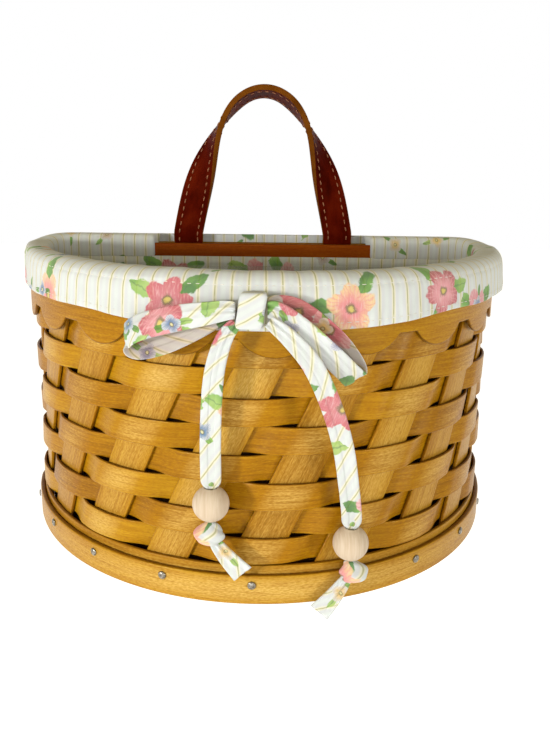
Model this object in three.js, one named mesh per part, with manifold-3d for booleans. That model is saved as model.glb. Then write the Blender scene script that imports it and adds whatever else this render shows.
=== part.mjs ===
// Half-round wall basket: a splint-woven body with a flat back on a solid base board, a cloth
// liner whose cuff folds over the rim, a cloth tie with two beads, a clear insert and a leather
// strap that hangs on the wall. Millimetres, +Z up, the round front faces -Y, the wall is at +Y.
import * as THREE from "three";
import { mergeVertices } from "three/addons/utils/BufferGeometryUtils.js";
import loadManifold from "manifold-3d";

// Fit and faceting
const FIT = 0.35; // clearance between pieces that touch
const CHORD_SAG = 0.18; // most that a straight facet leaves the curve of the wall
const PLAN_STEPS = 240; // samples along each curved stretch of the plan

// Plan and height of the basket
const BASE_WIDTH = 254; // across the base band, were the back corners left square
const BASE_DEPTH = 145; // from the wall to the front of the base band
const SIDE_SETBACK = 4.4; // from the wall to the widest line of the half-round
const CORNER_RADIUS = 18; // back corners, at the middle of the uprights
const RIM_HEIGHT = 144; // from the underside to the top of the rim bands

// Base
const BOARD_THICKNESS = 9;
const BASE_BAND_HEIGHT = 14;
const BASE_BAND_THICKNESS = 2.4;
const FILLER_THICKNESS = 1.8;
const FILLER_REVEAL = 3.6; // height of the filler strip that shows above the base band
const TACK_RADIUS = 1.9;
const TACK_HEIGHT = 0.8;
const TACK_RISE = 9.6; // underside to the middle of a tack
const TACK_SHIFT = 4; // tack from the middle of its upright, along the wall
const FIRST_TACKS = 7; // uprights with a tack from the first one on, towards +X
const LAST_TACKS = 3; // uprights with a tack before the first one

// Splint weave
const STAKE_COUNT = 16; // uprights round the basket, an even number
const STAKE_WIDTH = 19;
const STAKE_THICKNESS = 1.6;
const STAKE_LEAN = 25; // degrees from upright, tops towards +X at the front
const STAKE_FOOT_GAP = 0.5; // underside to the foot of an upright
const STAKE_TOP_GAP = 1; // top of an upright below the rim
const FIRST_STAKE = -53.5; // foot of the first upright, along the wall from the front centre
const ROW_COUNT = 8;
const WEAVE_BELOW_RIM = 25.6; // from the rim down to the top row of the weave
const WEAVER_THICKNESS = 1.3;
const ROW_GAP = 0.4;
const WEAVER_LAND = 0.8; // flat of a weaver past each edge of an upright

// Rim
const SCALLOP_THICKNESS = 1.8;
const SCALLOP_RADIUS = 17.5;
const SCALLOP_DROP = 33; // from the rim to the tip of a scallop
const SCALLOP_STEPS = 7;
const RIM_BAND_HEIGHT = 20;
const RIM_BAND_THICKNESS = 2.4;

// Leather strap
const STRAP_WIDTH = 16;
const STRAP_THICKNESS = 3;
const STRAP_TAB_THICKNESS = 1.5; // thinned ends, tucked behind the inner rim band
const STRAP_TAB_LENGTH = 13; // depth of a tab below the rim
const STRAP_SPREAD = 83; // between the middles of the two legs at the rim
const STRAP_RISE = 78.2; // from the flex line to the middle of the arch
const STRAP_FLEX_HEIGHT = 2.5; // flex line above the rim
const STRAP_THINNING = 9; // length over which a leg thins towards the flex line
const STRAP_LEAD = 3; // upright start of a leg above the flex line
const STRAP_LEG_DRAW = 6; // how far a leg leans in before the arch turns
const STRAP_LEG_PULL = 34; // height of the leg's curve handle
const STRAP_CROWN_PULL = 24; // width of the crown's curve handle
const STRAP_TOP_FORWARD = 1.2; // crown in front of the legs
const STRAP_TWIST = 102; // degrees the strap turns from a leg to the crown
const STRAP_STEPS = 18; // sections along each half of the arch

// Liner and insert
const CLOTH_THICKNESS = 1; // lining panels
const CUFF_DROP = 20; // from the rim down to the hem
const CUFF_CROWN = 1.8; // height of the cuff's fold above the rim
const HEM_SIDE_RISE = 4.2; // hem higher at the sides and back than under the bow
const LEFT_PADDING = 0.3; // share of the cuff's padding left at the -X side
const RIGHT_PADDING = 0.75; // share of the cuff's padding left at the +X side
const CUFF_STAND = 4.4; // padded thickness of the cuff at its shoulder, away from the wall
const HEM_STAND = 6.5; // padded thickness of the cuff at its hem, away from the wall
const SLOT_WIDTH = 116; // opening at the back for the strap
const SLOT_SILL = 7; // bare height of the inner rim band in that opening
const FLAP_RISE = 4.4; // height of the cuff behind the strap above the rim
const INSERT_WALL = 1;
const INSERT_TOP_GAP = 12; // rim to the top edge of the insert

// Tie
const KNOT_ACROSS = -6.5; // middle of the bow's knot, along the wall from the front centre
const KNOT_BELOW_RIM = 11;
const KNOT_WIDTH = 10;
const KNOT_HEIGHT = 14;
const KNOT_DEPTH = 8;
const TIE_THICKNESS = 1.2;
const TIE_WIDTH = 8.8; // tails
const LOOP_WIDTH = 11.5; // broadest part of a bow loop
const TAIL_SWING_GAP = 0.9; // room for a tail to swing below the knot
const BEAD_DIAMETER = 15.6;
const BEAD_BORE = 5.4;
const NECK_WIDTH = 3.6; // tail gathered inside a bead
const NECK_THICKNESS = 2.4;
const LEFT_BEAD_ACROSS = -15.3; // middle of the bead from the bow's knot
const LEFT_BEAD_DROP = 83.6;
const RIGHT_BEAD_ACROSS = 40.1;
const RIGHT_BEAD_DROP = 103.5;
const BEAD_LEAD = 4; // straight run of a tail above its bead
const END_KNOT_WIDTH = 12.4;
const END_KNOT_HEIGHT = 11;

const wasm = await loadManifold();
wasm.setup();

// Offsets from the middle of the uprights, outwards positive
const stakeHalf = STAKE_THICKNESS / 2;
const weaverMiddle = stakeHalf + FIT + WEAVER_THICKNESS / 2;
const weaverOut = weaverMiddle + WEAVER_THICKNESS / 2;
const fillerIn = stakeHalf + FIT;
const fillerOut = fillerIn + FILLER_THICKNESS;
const baseBandIn = fillerOut + FIT;
const baseBandOut = baseBandIn + BASE_BAND_THICKNESS;
const scallopIn = weaverOut + FIT;
const scallopOut = scallopIn + SCALLOP_THICKNESS;
const strapMiddle = -(stakeHalf + FIT + STRAP_TAB_THICKNESS / 2);
const rimBandOut = Math.min(strapMiddle - STRAP_TAB_THICKNESS / 2, -weaverOut) - FIT;
const rimBandIn = rimBandOut - RIM_BAND_THICKNESS;
const linerOut = rimBandIn - FIT;
const linerIn = linerOut - CLOTH_THICKNESS;
const insertOut = linerIn - FIT;
const insertIn = insertOut - INSERT_WALL;
const cuffIn = scallopOut + FIT;
const cuffBack = Math.max(baseBandOut, cuffIn + CLOTH_THICKNESS);
const bowSeat = cuffIn + HEM_STAND + FIT;

// Heights
const fillerTop = BASE_BAND_HEIGHT + FILLER_REVEAL;
const rowStart = fillerTop + FIT;
const rowPitch = (RIM_HEIGHT - WEAVE_BELOW_RIM + ROW_GAP - rowStart) / ROW_COUNT;
const stakeTop = RIM_HEIGHT - STAKE_TOP_GAP;
const hemHeight = RIM_HEIGHT - CUFF_DROP;
const linerFloor = BOARD_THICKNESS + FIT;
const insertFloor = linerFloor + CLOTH_THICKNESS + FIT;
const flexHeight = RIM_HEIGHT + STRAP_FLEX_HEIGHT;
const strapTop = flexHeight + STRAP_RISE;
const knotHeight = RIM_HEIGHT - KNOT_BELOW_RIM;

// Plan at the middle of the uprights: half an ellipse in front, two corner arcs, a straight back.
const halfWidth = BASE_WIDTH / 2 - baseBandOut;
const frontReach = BASE_DEPTH - SIDE_SETBACK - baseBandOut;
const backY = -cuffBack;
const middleY = -SIDE_SETBACK;

function ellipsePoint(angle) {
  return new THREE.Vector2(halfWidth * Math.sin(angle), middleY - frontReach * Math.cos(angle));
}

function ellipseNormal(angle) {
  return new THREE.Vector2(Math.sin(angle) / halfWidth, -Math.cos(angle) / frontReach).normalize();
}

// Where the front curve meets a corner arc that also touches the straight back.
function cornerAngle() {
  let low = Math.PI / 4;
  let high = 0.75 * Math.PI;
  for (let k = 0; k < 60; k += 1) {
    const angle = (low + high) / 2;
    const arcMiddle = ellipsePoint(angle).y - CORNER_RADIUS * ellipseNormal(angle).y;
    if (arcMiddle < backY - CORNER_RADIUS) low = angle;
    else high = angle;
  }
  return (low + high) / 2;
}

// Points, outward normals and running length of the +X half, from the front to the back centre.
function samplePlan() {
  const samples = [];
  const meet = cornerAngle();
  for (let k = 0; k <= PLAN_STEPS; k += 1) {
    const angle = (meet * k) / PLAN_STEPS;
    samples.push({ point: ellipsePoint(angle), normal: ellipseNormal(angle), length: 0 });
  }
  const arcMiddle = ellipsePoint(meet).addScaledVector(ellipseNormal(meet), -CORNER_RADIUS);
  const arcStart = ellipseNormal(meet).angle() - 2 * Math.PI * Number(ellipseNormal(meet).y < 0);
  for (let k = 1; k <= PLAN_STEPS; k += 1) {
    const angle = arcStart + ((Math.PI / 2 - arcStart) * k) / PLAN_STEPS;
    const normal = new THREE.Vector2(Math.cos(angle), Math.sin(angle));
    const point = arcMiddle.clone().addScaledVector(normal, CORNER_RADIUS);
    samples.push({ point, normal, length: 0 });
  }
  const backCentre = new THREE.Vector2(0, backY);
  samples.push({ point: backCentre, normal: new THREE.Vector2(0, 1), length: 0 });
  for (let k = 1; k < samples.length; k += 1) {
    const step = samples[k].point.distanceTo(samples[k - 1].point);
    samples[k].length = samples[k - 1].length + step;
  }
  return samples;
}

const plan = samplePlan();
const halfRound = plan[plan.length - 1].length;
const wallRound = 2 * halfRound;
const stakePitch = wallRound / STAKE_COUNT;
const cornerStart = plan[PLAN_STEPS].length;
const cornerEnd = plan[2 * PLAN_STEPS].length;

// Point and normal of the plan at a distance along the wall from the front centre, +X first.
function planAt(along) {
  const turns = Math.floor((along + halfRound) / wallRound);
  const local = along - turns * wallRound;
  const distance = Math.abs(local);
  let low = 0;
  let high = plan.length - 1;
  while (high - low > 1) {
    const middle = Math.floor((low + high) / 2);
    if (plan[middle].length <= distance) low = middle;
    else high = middle;
  }
  const span = plan[high].length - plan[low].length;
  const share = (distance - plan[low].length) / span;
  const point = plan[low].point.clone().lerp(plan[high].point, share);
  const normal = plan[low].normal.clone().lerp(plan[high].normal, share).normalize();
  const side = local < 0 ? -1 : 1;
  return { x: side * point.x, y: point.y, nx: side * normal.x, ny: normal.y };
}

// Point on the wall: distance along it, offset out from the uprights' middle, and height.
function wallPoint(along, out, height) {
  const at = planAt(along);
  return new THREE.Vector3(at.x + out * at.nx, at.y + out * at.ny, height);
}

// Splits a run into stations whose chords keep to the curve; alongOf gives the place of a station.
function splitRun(from, to, alongOf) {
  const start = planAt(alongOf(from));
  const end = planAt(alongOf(to));
  const turn = Math.acos(Math.min(1, start.nx * end.nx + start.ny * end.ny));
  const chord = Math.abs(alongOf(to) - alongOf(from));
  if ((chord * turn) / 8 <= CHORD_SAG) return [from];
  const middle = (from + to) / 2;
  return [...splitRun(from, middle, alongOf), ...splitRun(middle, to, alongOf)];
}

// Stations all round the wall: even steps on the front curve, on each corner and on the back,
// with extra ones where a piece changes.
function roundStations(extra = []) {
  const frontStep = 2 * Math.sqrt((2 * CHORD_SAG * halfWidth ** 2) / frontReach);
  const cornerStep = 2 * Math.sqrt(2 * CHORD_SAG * CORNER_RADIUS);
  const evenSteps = (from, to, step) => {
    const count = Math.ceil((to - from) / step);
    return Array.from({ length: count }, (_, k) => from + ((to - from) * k) / count);
  };
  const stations = [
    ...evenSteps(-cornerEnd, -cornerStart, cornerStep),
    ...evenSteps(-cornerStart, cornerStart, frontStep),
    ...evenSteps(cornerStart, cornerEnd, cornerStep),
    cornerEnd,
    ...extra,
  ];
  return stations.sort((a, b) => a - b);
}

// Turns rings of points into a closed solid: a loop, or a run with a flat face at each end.
function loft(rings, isLoop) {
  const count = rings[0].length;
  const positions = rings.flat().flatMap((point) => [point.x, point.y, point.z]);
  const index = [];
  const spans = isLoop ? rings.length : rings.length - 1;
  for (let r = 0; r < spans; r += 1) {
    const here = r * count;
    const next = ((r + 1) % rings.length) * count;
    for (let k = 0; k < count; k += 1) {
      const after = (k + 1) % count;
      index.push(here + k, next + k, next + after, here + k, next + after, here + after);
    }
  }
  const last = (rings.length - 1) * count;
  for (let k = 1; k < count - 1 && !isLoop; k += 1) {
    index.push(0, k, k + 1, last, last + k + 1, last + k);
  }
  const geometry = new THREE.BufferGeometry();
  geometry.setAttribute("position", new THREE.Float32BufferAttribute(positions, 3));
  geometry.setIndex(signedVolume(positions, index) < 0 ? index.reverse() : index);
  geometry.computeVertexNormals();
  return geometry;
}

// Volume inside a triangle mesh, negative where its faces point inwards.
function signedVolume(positions, index) {
  const corner = (k) => new THREE.Vector3().fromArray(positions, 3 * index[k]);
  let volume = 0;
  for (let k = 0; k < index.length; k += 3) {
    volume += corner(k).dot(corner(k + 1).cross(corner(k + 2))) / 6;
  }
  return volume;
}

// Joins or cuts two closed geometries.
function combine(first, second, operation) {
  const solids = [first, second].map((geometry) => {
    const bare = geometry.clone();
    bare.deleteAttribute("normal");
    bare.deleteAttribute("uv");
    const merged = mergeVertices(bare, 1e-4);
    const mesh = new wasm.Mesh({
      numProp: 3,
      vertProperties: new Float32Array(merged.attributes.position.array),
      triVerts: new Uint32Array(merged.index.array),
    });
    return new wasm.Manifold(mesh);
  });
  const result = solids[0][operation](solids[1]).getMesh();
  const geometry = new THREE.BufferGeometry();
  geometry.setAttribute("position", new THREE.BufferAttribute(result.vertProperties, 3));
  geometry.setIndex(new THREE.BufferAttribute(result.triVerts, 1));
  geometry.computeVertexNormals();
  return geometry;
}

// Band round the whole wall with an upright section; low and high may vary along the wall.
function bandGeometry(inner, outer, low, high, stations) {
  const rings = stations.map((along) => [
    wallPoint(along, inner, low(along)),
    wallPoint(along, outer, low(along)),
    wallPoint(along, outer, high(along)),
    wallPoint(along, inner, high(along)),
  ]);
  return loft(rings, true);
}

// Flat plate with the outline of the wall at one offset.
function plateGeometry(out, low, high) {
  const stations = roundStations();
  const outline = (height) => stations.map((along) => wallPoint(along, out, height));
  return loft([outline(low), outline(high)], false);
}

// Strip of rectangular section: sections give a middle, a width direction, a width and a thickness.
function stripGeometry(sections) {
  const rings = sections.map((section, k) => {
    const before = sections[Math.max(k - 1, 0)].middle;
    const after = sections[Math.min(k + 1, sections.length - 1)].middle;
    const tangent = after.clone().sub(before).normalize();
    const across = section.across.clone().addScaledVector(tangent, -section.across.dot(tangent));
    const half = across.normalize().clone().multiplyScalar(section.width / 2);
    const depth = tangent.cross(across).multiplyScalar(section.thickness / 2);
    return [
      section.middle.clone().sub(half).sub(depth),
      section.middle.clone().add(half).sub(depth),
      section.middle.clone().add(half).add(depth),
      section.middle.clone().sub(half).add(depth),
    ];
  });
  return loft(rings, false);
}

const maple = { color: 0xd9a650, roughness: 0.45, metalness: 0 };
const leather = { color: 0x6e2a12, roughness: 0.5, metalness: 0 };
const cloth = { color: 0xf0ede2, roughness: 0.9, metalness: 0 };
const steel = { color: 0xb8b8b4, roughness: 0.35, metalness: 1 };
const bareWood = { color: 0xe6c9a4, roughness: 0.7, metalness: 0 };
const clearPlastic = { color: 0xeef4f4, roughness: 0.1, metalness: 0, transparent: true, opacity: 0.3 };

const assembly = new THREE.Group();

function addPiece(name, geometry, finish) {
  const mesh = new THREE.Mesh(geometry, new THREE.MeshStandardMaterial(finish));
  mesh.name = name;
  assembly.add(mesh);
  return mesh;
}

const always = (value) => () => value;
const twoDigits = (number) => String(number).padStart(2, "0");

// The uprights lean, so a line along an upright runs sideways as it rises.
const lean = Math.tan(THREE.MathUtils.degToRad(STAKE_LEAN));
const stakeRun = STAKE_WIDTH / Math.cos(THREE.MathUtils.degToRad(STAKE_LEAN));
const stakeFoot = (k) => FIRST_STAKE + k * stakePitch;

// Base: the board, the filler strip round the uprights' feet, and the base band.
const boardEdge = -stakeHalf - FIT - CHORD_SAG;
addPiece("base_board", plateGeometry(boardEdge, 0, BOARD_THICKNESS), maple);
addPiece(
  "base_filler",
  bandGeometry(fillerIn, fillerOut, always(0), always(fillerTop), roundStations()),
  maple,
);
addPiece(
  "base_band",
  bandGeometry(baseBandIn, baseBandOut, always(0), always(BASE_BAND_HEIGHT), roundStations()),
  maple,
);

// Uprights: flat splints from the base to the rim, bent round the corners where they cross them.
function stakeGeometry(foot) {
  const edges = [-stakeRun / 2, 0, stakeRun / 2];
  const lines = edges.map((edge) => {
    return splitRun(STAKE_FOOT_GAP, stakeTop, (height) => foot + edge + lean * height);
  });
  const heights = [...new Set([...lines.flat(), stakeTop])].sort((a, b) => a - b);
  const spots = heights.flatMap((height) => {
    return splitRun(-stakeRun / 2, stakeRun / 2, (across) => foot + across + lean * height);
  });
  const across = [...new Set([...spots, stakeRun / 2])].sort((a, b) => a - b);
  const rings = heights.map((height) => {
    const place = (offset) => (spot) => wallPoint(foot + spot + lean * height, offset, height);
    return [...across.map(place(-stakeHalf)), ...across.map(place(stakeHalf)).reverse()];
  });
  return loftStrip(rings, across.length);
}

// Closes a run of flat sections whose ring is one row of points out and one row back.
function loftStrip(rings, rowLength) {
  const count = rings[0].length;
  const positions = rings.flat().flatMap((point) => [point.x, point.y, point.z]);
  const index = [];
  for (let r = 0; r < rings.length - 1; r += 1) {
    for (let k = 0; k < count; k += 1) {
      const here = r * count + k;
      const after = r * count + ((k + 1) % count);
      index.push(here, here + count, after + count, here, after + count, after);
    }
  }
  const last = (rings.length - 1) * count;
  for (let k = 0; k < rowLength - 1; k += 1) {
    const far = count - 1 - k;
    index.push(k, k + 1, far - 1, k, far - 1, far);
    index.push(last + k, last + far - 1, last + k + 1, last + k, last + far, last + far - 1);
  }
  const geometry = new THREE.BufferGeometry();
  geometry.setAttribute("position", new THREE.Float32BufferAttribute(positions, 3));
  geometry.setIndex(signedVolume(positions, index) < 0 ? index.reverse() : index);
  geometry.computeVertexNormals();
  return geometry;
}

for (let k = 0; k < STAKE_COUNT; k += 1) {
  addPiece(`stake_${twoDigits(k + 1)}`, stakeGeometry(stakeFoot(k)), maple);
}

// Weavers: each row passes outside one upright and inside the next, and rows alternate.
// The turns from outside to inside run parallel to the leaning uprights.
function weaverGeometry(row) {
  const low = rowStart + row * rowPitch;
  const high = low + rowPitch - ROW_GAP;
  const land = stakeRun / 2 + WEAVER_LAND;
  const alongOf = (station) => station + (lean * (low + high)) / 2;
  const ring = (station, side) => {
    const inner = side * weaverMiddle - WEAVER_THICKNESS / 2;
    const outer = side * weaverMiddle + WEAVER_THICKNESS / 2;
    return [
      wallPoint(station + lean * low, inner, low),
      wallPoint(station + lean * low, outer, low),
      wallPoint(station + lean * high, outer, high),
      wallPoint(station + lean * high, inner, high),
    ];
  };
  const rings = [];
  for (let k = 0; k < STAKE_COUNT; k += 1) {
    const side = (k + row) % 2 === 0 ? -1 : 1;
    const leave = stakeFoot(k) + land;
    const arrive = stakeFoot(k + 1) - land;
    for (const station of splitRun(stakeFoot(k) - land, leave, alongOf)) {
      rings.push(ring(station, side));
    }
    for (const station of splitRun(leave, arrive, alongOf)) {
      rings.push(ring(station, side * (1 - (2 * (station - leave)) / (arrive - leave))));
    }
  }
  return loft(rings, true);
}

for (let row = 0; row < ROW_COUNT; row += 1) {
  addPiece(`weaver_${twoDigits(row + 1)}`, weaverGeometry(row), maple);
}

// Rim: a scalloped strip outside the weave and a plain band inside it.
function scallopGeometry() {
  const tip = RIM_HEIGHT - SCALLOP_DROP;
  const middleOf = (k) => stakeFoot(k) + lean * (tip + SCALLOP_RADIUS / 2);
  const edge = (along) => {
    const nearest = middleOf(Math.round((along - middleOf(0)) / stakePitch));
    const across = Math.min(Math.abs(along - nearest), SCALLOP_RADIUS);
    return tip + SCALLOP_RADIUS - Math.sqrt(SCALLOP_RADIUS ** 2 - across ** 2);
  };
  const marks = [];
  for (let k = 0; k < STAKE_COUNT; k += 1) {
    for (let step = 0; step <= SCALLOP_STEPS; step += 1) {
      const angle = Math.PI * (step / SCALLOP_STEPS - 0.5);
      marks.push(middleOf(k) + SCALLOP_RADIUS * Math.sin(angle));
    }
  }
  const stations = marks.flatMap((mark, k) => {
    return splitRun(mark, marks[k + 1] ?? marks[0] + wallRound, (along) => along);
  });
  return bandGeometry(scallopIn, scallopOut, edge, always(RIM_HEIGHT), stations);
}

addPiece("rim_scallops", scallopGeometry(), maple);
addPiece(
  "rim_inner_band",
  bandGeometry(
    rimBandOut,
    rimBandIn,
    always(RIM_HEIGHT - RIM_BAND_HEIGHT),
    always(RIM_HEIGHT),
    roundStations(),
  ),
  maple,
);

// Tacks through the base band into the feet of the uprights, on the front and the sides.
function tackGeometry() {
  const profile = [
    new THREE.Vector2(0, 0),
    new THREE.Vector2(TACK_RADIUS, 0),
    new THREE.Vector2(0.8 * TACK_RADIUS, 0.7 * TACK_HEIGHT),
    new THREE.Vector2(0, TACK_HEIGHT),
  ];
  return new THREE.LatheGeometry(profile, 8);
}

for (let k = 0; k < STAKE_COUNT; k += 1) {
  const along = stakeFoot(k) + lean * TACK_RISE + TACK_SHIFT;
  const at = planAt(along);
  if (k < FIRST_TACKS || k >= STAKE_COUNT - LAST_TACKS) {
    const tack = addPiece(`tack_${twoDigits(k + 1)}`, tackGeometry(), steel);
    tack.position.copy(wallPoint(along, baseBandOut + FIT, TACK_RISE));
    tack.quaternion.setFromUnitVectors(new THREE.Vector3(0, 1, 0), new THREE.Vector3(at.nx, at.ny, 0));
  }
}

// Leather strap: an arch whose legs stand flat to the wall and whose crown lies flat on its peg.
// Each leg turns so that its inner edge comes to the front. The legs flex just above the rim.
const strapY = backY + strapMiddle;
const strapPath = new THREE.CurvePath();
const strapFoot = (side) => new THREE.Vector3((side * STRAP_SPREAD) / 2, strapY, flexHeight);
const strapStart = (side) => strapFoot(side).setZ(flexHeight + STRAP_LEAD);
const strapLeg = (side) => {
  const reach = STRAP_SPREAD / 2 - STRAP_LEG_DRAW;
  return new THREE.Vector3(side * reach, strapY, flexHeight + STRAP_LEG_PULL);
};
const strapCrown = (across) => new THREE.Vector3(across, strapY - STRAP_TOP_FORWARD, strapTop);
strapPath.add(
  new THREE.CubicBezierCurve3(strapStart(-1), strapLeg(-1), strapCrown(-STRAP_CROWN_PULL), strapCrown(0)),
);
strapPath.add(
  new THREE.CubicBezierCurve3(strapCrown(0), strapCrown(STRAP_CROWN_PULL), strapLeg(1), strapStart(1)),
);

function strapSections() {
  const steps = 2 * STRAP_STEPS;
  const length = strapPath.getLength();
  const front = new THREE.Vector3(0, -1, 0);
  const sections = [];
  for (let k = 0; k <= steps; k += 1) {
    const share = k / steps;
    const tangent = strapPath.getTangentAt(share);
    const inward = tangent.clone().cross(front).normalize();
    const fromFoot = 1 - Math.abs(2 * share - 1);
    const twist = THREE.MathUtils.degToRad(STRAP_TWIST) * THREE.MathUtils.smoothstep(fromFoot, 0.06, 0.86);
    const across = inward.multiplyScalar(Math.cos(twist)).addScaledVector(front, Math.sin(twist));
    const run = STRAP_LEAD + (fromFoot * length) / 2;
    const thick = THREE.MathUtils.clamp(run / STRAP_THINNING, 0, 1);
    const thickness = THREE.MathUtils.lerp(STRAP_TAB_THICKNESS, STRAP_THICKNESS, thick);
    sections.push({ middle: strapPath.getPointAt(share), across, width: STRAP_WIDTH, thickness });
  }
  return sections;
}

// Rounds off a leg's end below the flex line, so that the leg can turn above its tab.
function strapFootSections(side) {
  const across = new THREE.Vector3(-side, 0, 0);
  return [0, 30, 60, 80].map((degrees) => {
    const angle = THREE.MathUtils.degToRad(degrees);
    const middle = strapFoot(side);
    middle.z -= (STRAP_TAB_THICKNESS / 2) * Math.sin(angle);
    return { middle, across, width: STRAP_WIDTH, thickness: STRAP_TAB_THICKNESS * Math.cos(angle) };
  });
}

addPiece(
  "strap_arch",
  stripGeometry([...strapFootSections(-1).reverse(), ...strapSections(), ...strapFootSections(1)]),
  leather,
);

function tabGeometry(side) {
  const height = (z) => strapFoot(side).setZ(z);
  const across = new THREE.Vector3(1, 0, 0);
  const size = { across, width: STRAP_WIDTH, thickness: STRAP_TAB_THICKNESS };
  return stripGeometry([
    { middle: height(RIM_HEIGHT - STRAP_TAB_LENGTH), ...size },
    { middle: height(flexHeight - STRAP_TAB_THICKNESS / 2 - FIT), ...size },
  ]);
}

addPiece("strap_tab_left", tabGeometry(-1), leather);
addPiece("strap_tab_right", tabGeometry(1), leather);

// Liner: a floor panel, a wall panel that dips behind the strap, and a cuff folded over the rim.
const slotEdge = halfRound - SLOT_WIDTH / 2;
const slotMarks = [-slotEdge, -slotEdge - FIT, slotEdge, slotEdge + FIT];
const linerTop = (along) => (Math.abs(along) > slotEdge + FIT / 2 ? RIM_HEIGHT - SLOT_SILL : stakeTop);
addPiece("liner_floor", plateGeometry(linerOut, linerFloor, linerFloor + CLOTH_THICKNESS), cloth);
addPiece(
  "liner_wall",
  bandGeometry(linerIn, linerOut, always(insertFloor), linerTop, roundStations(slotMarks)),
  cloth,
);

// The cuff is padded out in front, less so at the sides, and pressed flat on the wall at the back.
// Its hem hangs lowest under the bow.
function cuffGeometry() {
  const under = RIM_HEIGHT + FIT;
  const crown = RIM_HEIGHT + CUFF_CROWN;
  const rings = roundStations().map((along) => {
    const facing = -planAt(along).ny;
    const free = THREE.MathUtils.smoothstep(facing, -0.85, -0.1);
    const side = along < 0 ? LEFT_PADDING : RIGHT_PADDING;
    const full = free * THREE.MathUtils.lerp(side, 1, THREE.MathUtils.smoothstep(facing, 0.2, 0.85));
    const stand = (padding) => THREE.MathUtils.lerp(cuffBack, cuffIn + padding, full);
    const hem = hemHeight + HEM_SIDE_RISE * (1 - THREE.MathUtils.smoothstep(facing, 0.75, 1));
    const belly = (CUFF_STAND + HEM_STAND) / 2;
    const section = [
      [linerIn, stakeTop + FIT],
      [linerOut, stakeTop + FIT],
      [linerOut, under],
      [cuffIn, under],
      [cuffIn, hem],
      [stand(HEM_STAND), hem],
      [stand(belly), (hem + RIM_HEIGHT) / 2],
      [stand(CUFF_STAND), RIM_HEIGHT - CUFF_CROWN],
      [cuffIn, crown],
      [linerIn + CLOTH_THICKNESS, crown],
    ];
    return section.map(([out, height]) => wallPoint(along, out, height));
  });
  const slotFace = cuffIn + FIT / 3;
  const slotBox = boxBetween(
    [-SLOT_WIDTH / 2, backY + linerIn - CLOTH_THICKNESS, stakeTop - FIT],
    [SLOT_WIDTH / 2, backY + slotFace, crown + CUFF_CROWN],
  );
  const flap = boxBetween(
    [-SLOT_WIDTH / 2, backY + slotFace, RIM_HEIGHT - CUFF_CROWN],
    [SLOT_WIDTH / 2, backY + cuffBack, RIM_HEIGHT + FLAP_RISE],
  );
  return combine(combine(loft(rings, true), slotBox, "subtract"), flap, "add");
}

function boxBetween(low, high) {
  const size = low.map((value, k) => high[k] - value);
  const box = new THREE.BoxGeometry(...size);
  return box.translate(...low.map((value, k) => value + size[k] / 2));
}

addPiece("liner_cuff", cuffGeometry(), cloth);

// Clear insert: an open tub that stands on the liner's floor.
function insertGeometry() {
  const stations = roundStations();
  const outline = (out, height) => stations.map((along) => wallPoint(along, out, height));
  const top = RIM_HEIGHT - INSERT_TOP_GAP;
  return loft(
    [
      outline(insertOut, insertFloor),
      outline(insertOut, top),
      outline(insertIn, top),
      outline(insertIn, insertFloor + INSERT_WALL),
    ],
    false,
  );
}

addPiece("clear_insert", insertGeometry(), clearPlastic);

// Places on the tie: across and up from the middle of the bow's knot, and out from the cuff's hem.
const tiePoint = ([across, up, out]) => wallPoint(KNOT_ACROSS + across, bowSeat + out, knotHeight + up);

function tieDirection(across, up) {
  const at = planAt(KNOT_ACROSS);
  return new THREE.Vector3(-at.ny * across, at.nx * across, up).normalize();
}

// Folded cloth strip along a smooth line through a few points; sizeAt gives width and thickness.
function tieGeometry(points, across, sizeAt, steps) {
  const path = new THREE.CatmullRomCurve3(points.map(tiePoint), false, "centripetal");
  const sections = Array.from({ length: steps + 1 }, (_, k) => {
    const [width, thickness] = sizeAt(k / steps);
    return { middle: path.getPointAt(k / steps), across, width, thickness };
  });
  return stripGeometry(sections);
}

function knotGeometry() {
  const sides = 12;
  const waist = [0.72, 0.96, 1, 0.92, 0.92, 1, 0.96, 0.72];
  const rings = waist.map((size, r) => {
    const up = KNOT_HEIGHT * (r / (waist.length - 1) - 0.5);
    return Array.from({ length: sides }, (_, k) => {
      const angle = (2 * Math.PI * k) / sides;
      const across = (size * KNOT_WIDTH * Math.cos(angle)) / 2;
      return tiePoint([across, up, (KNOT_DEPTH * (1 + size * Math.sin(angle))) / 2]);
    });
  });
  return loft(rings, false);
}

addPiece("bow_knot", knotGeometry(), cloth);

// Bow loops: out from the knot in front, round a soft fold, and back to the knot behind.
const knotSide = KNOT_WIDTH / 2 + FIT;
const loopSize = (share) => {
  const swell = Math.sin(Math.PI * share) ** 0.6;
  return [THREE.MathUtils.lerp(0.55 * LOOP_WIDTH, LOOP_WIDTH, swell), TIE_THICKNESS];
};
const knotLead = knotSide + TIE_THICKNESS * 3;
const leftLoop = [
  [-knotSide, 0, 5.6], [-knotLead, 0, 6.2], [-14, -1.3, 7.4], [-24, -3.5, 8.4], [-34, -6, 8],
  [-42.5, -10.5, 6], [-46, -16, 3], [-41.5, -18.6, 1.2], [-32, -14.6, 1], [-22, -8.8, 1], [-13, -3.6, 1.2],
  [-knotLead, -1, 1.8], [-knotSide, -1, 2.2],
];
const rightLoop = [
  [knotSide, 1, 5.4], [knotLead, 1, 5.6], [14.5, -4.5, 6], [21, -11, 6.4], [27.5, -18, 6.2],
  [33.5, -25, 5.2], [38, -29.5, 3], [35.5, -22.5, 1.1], [29, -14.5, 1], [21, -7, 1], [14, -1, 1.2],
  [knotLead, 1.5, 1.8], [knotSide, 1.5, 2.2],
];
addPiece("bow_loop_left", tieGeometry(leftLoop, tieDirection(-0.28, 0.96), loopSize, 30), cloth);
addPiece("bow_loop_right", tieGeometry(rightLoop, tieDirection(0.7, 0.7), loopSize, 30), cloth);

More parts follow.
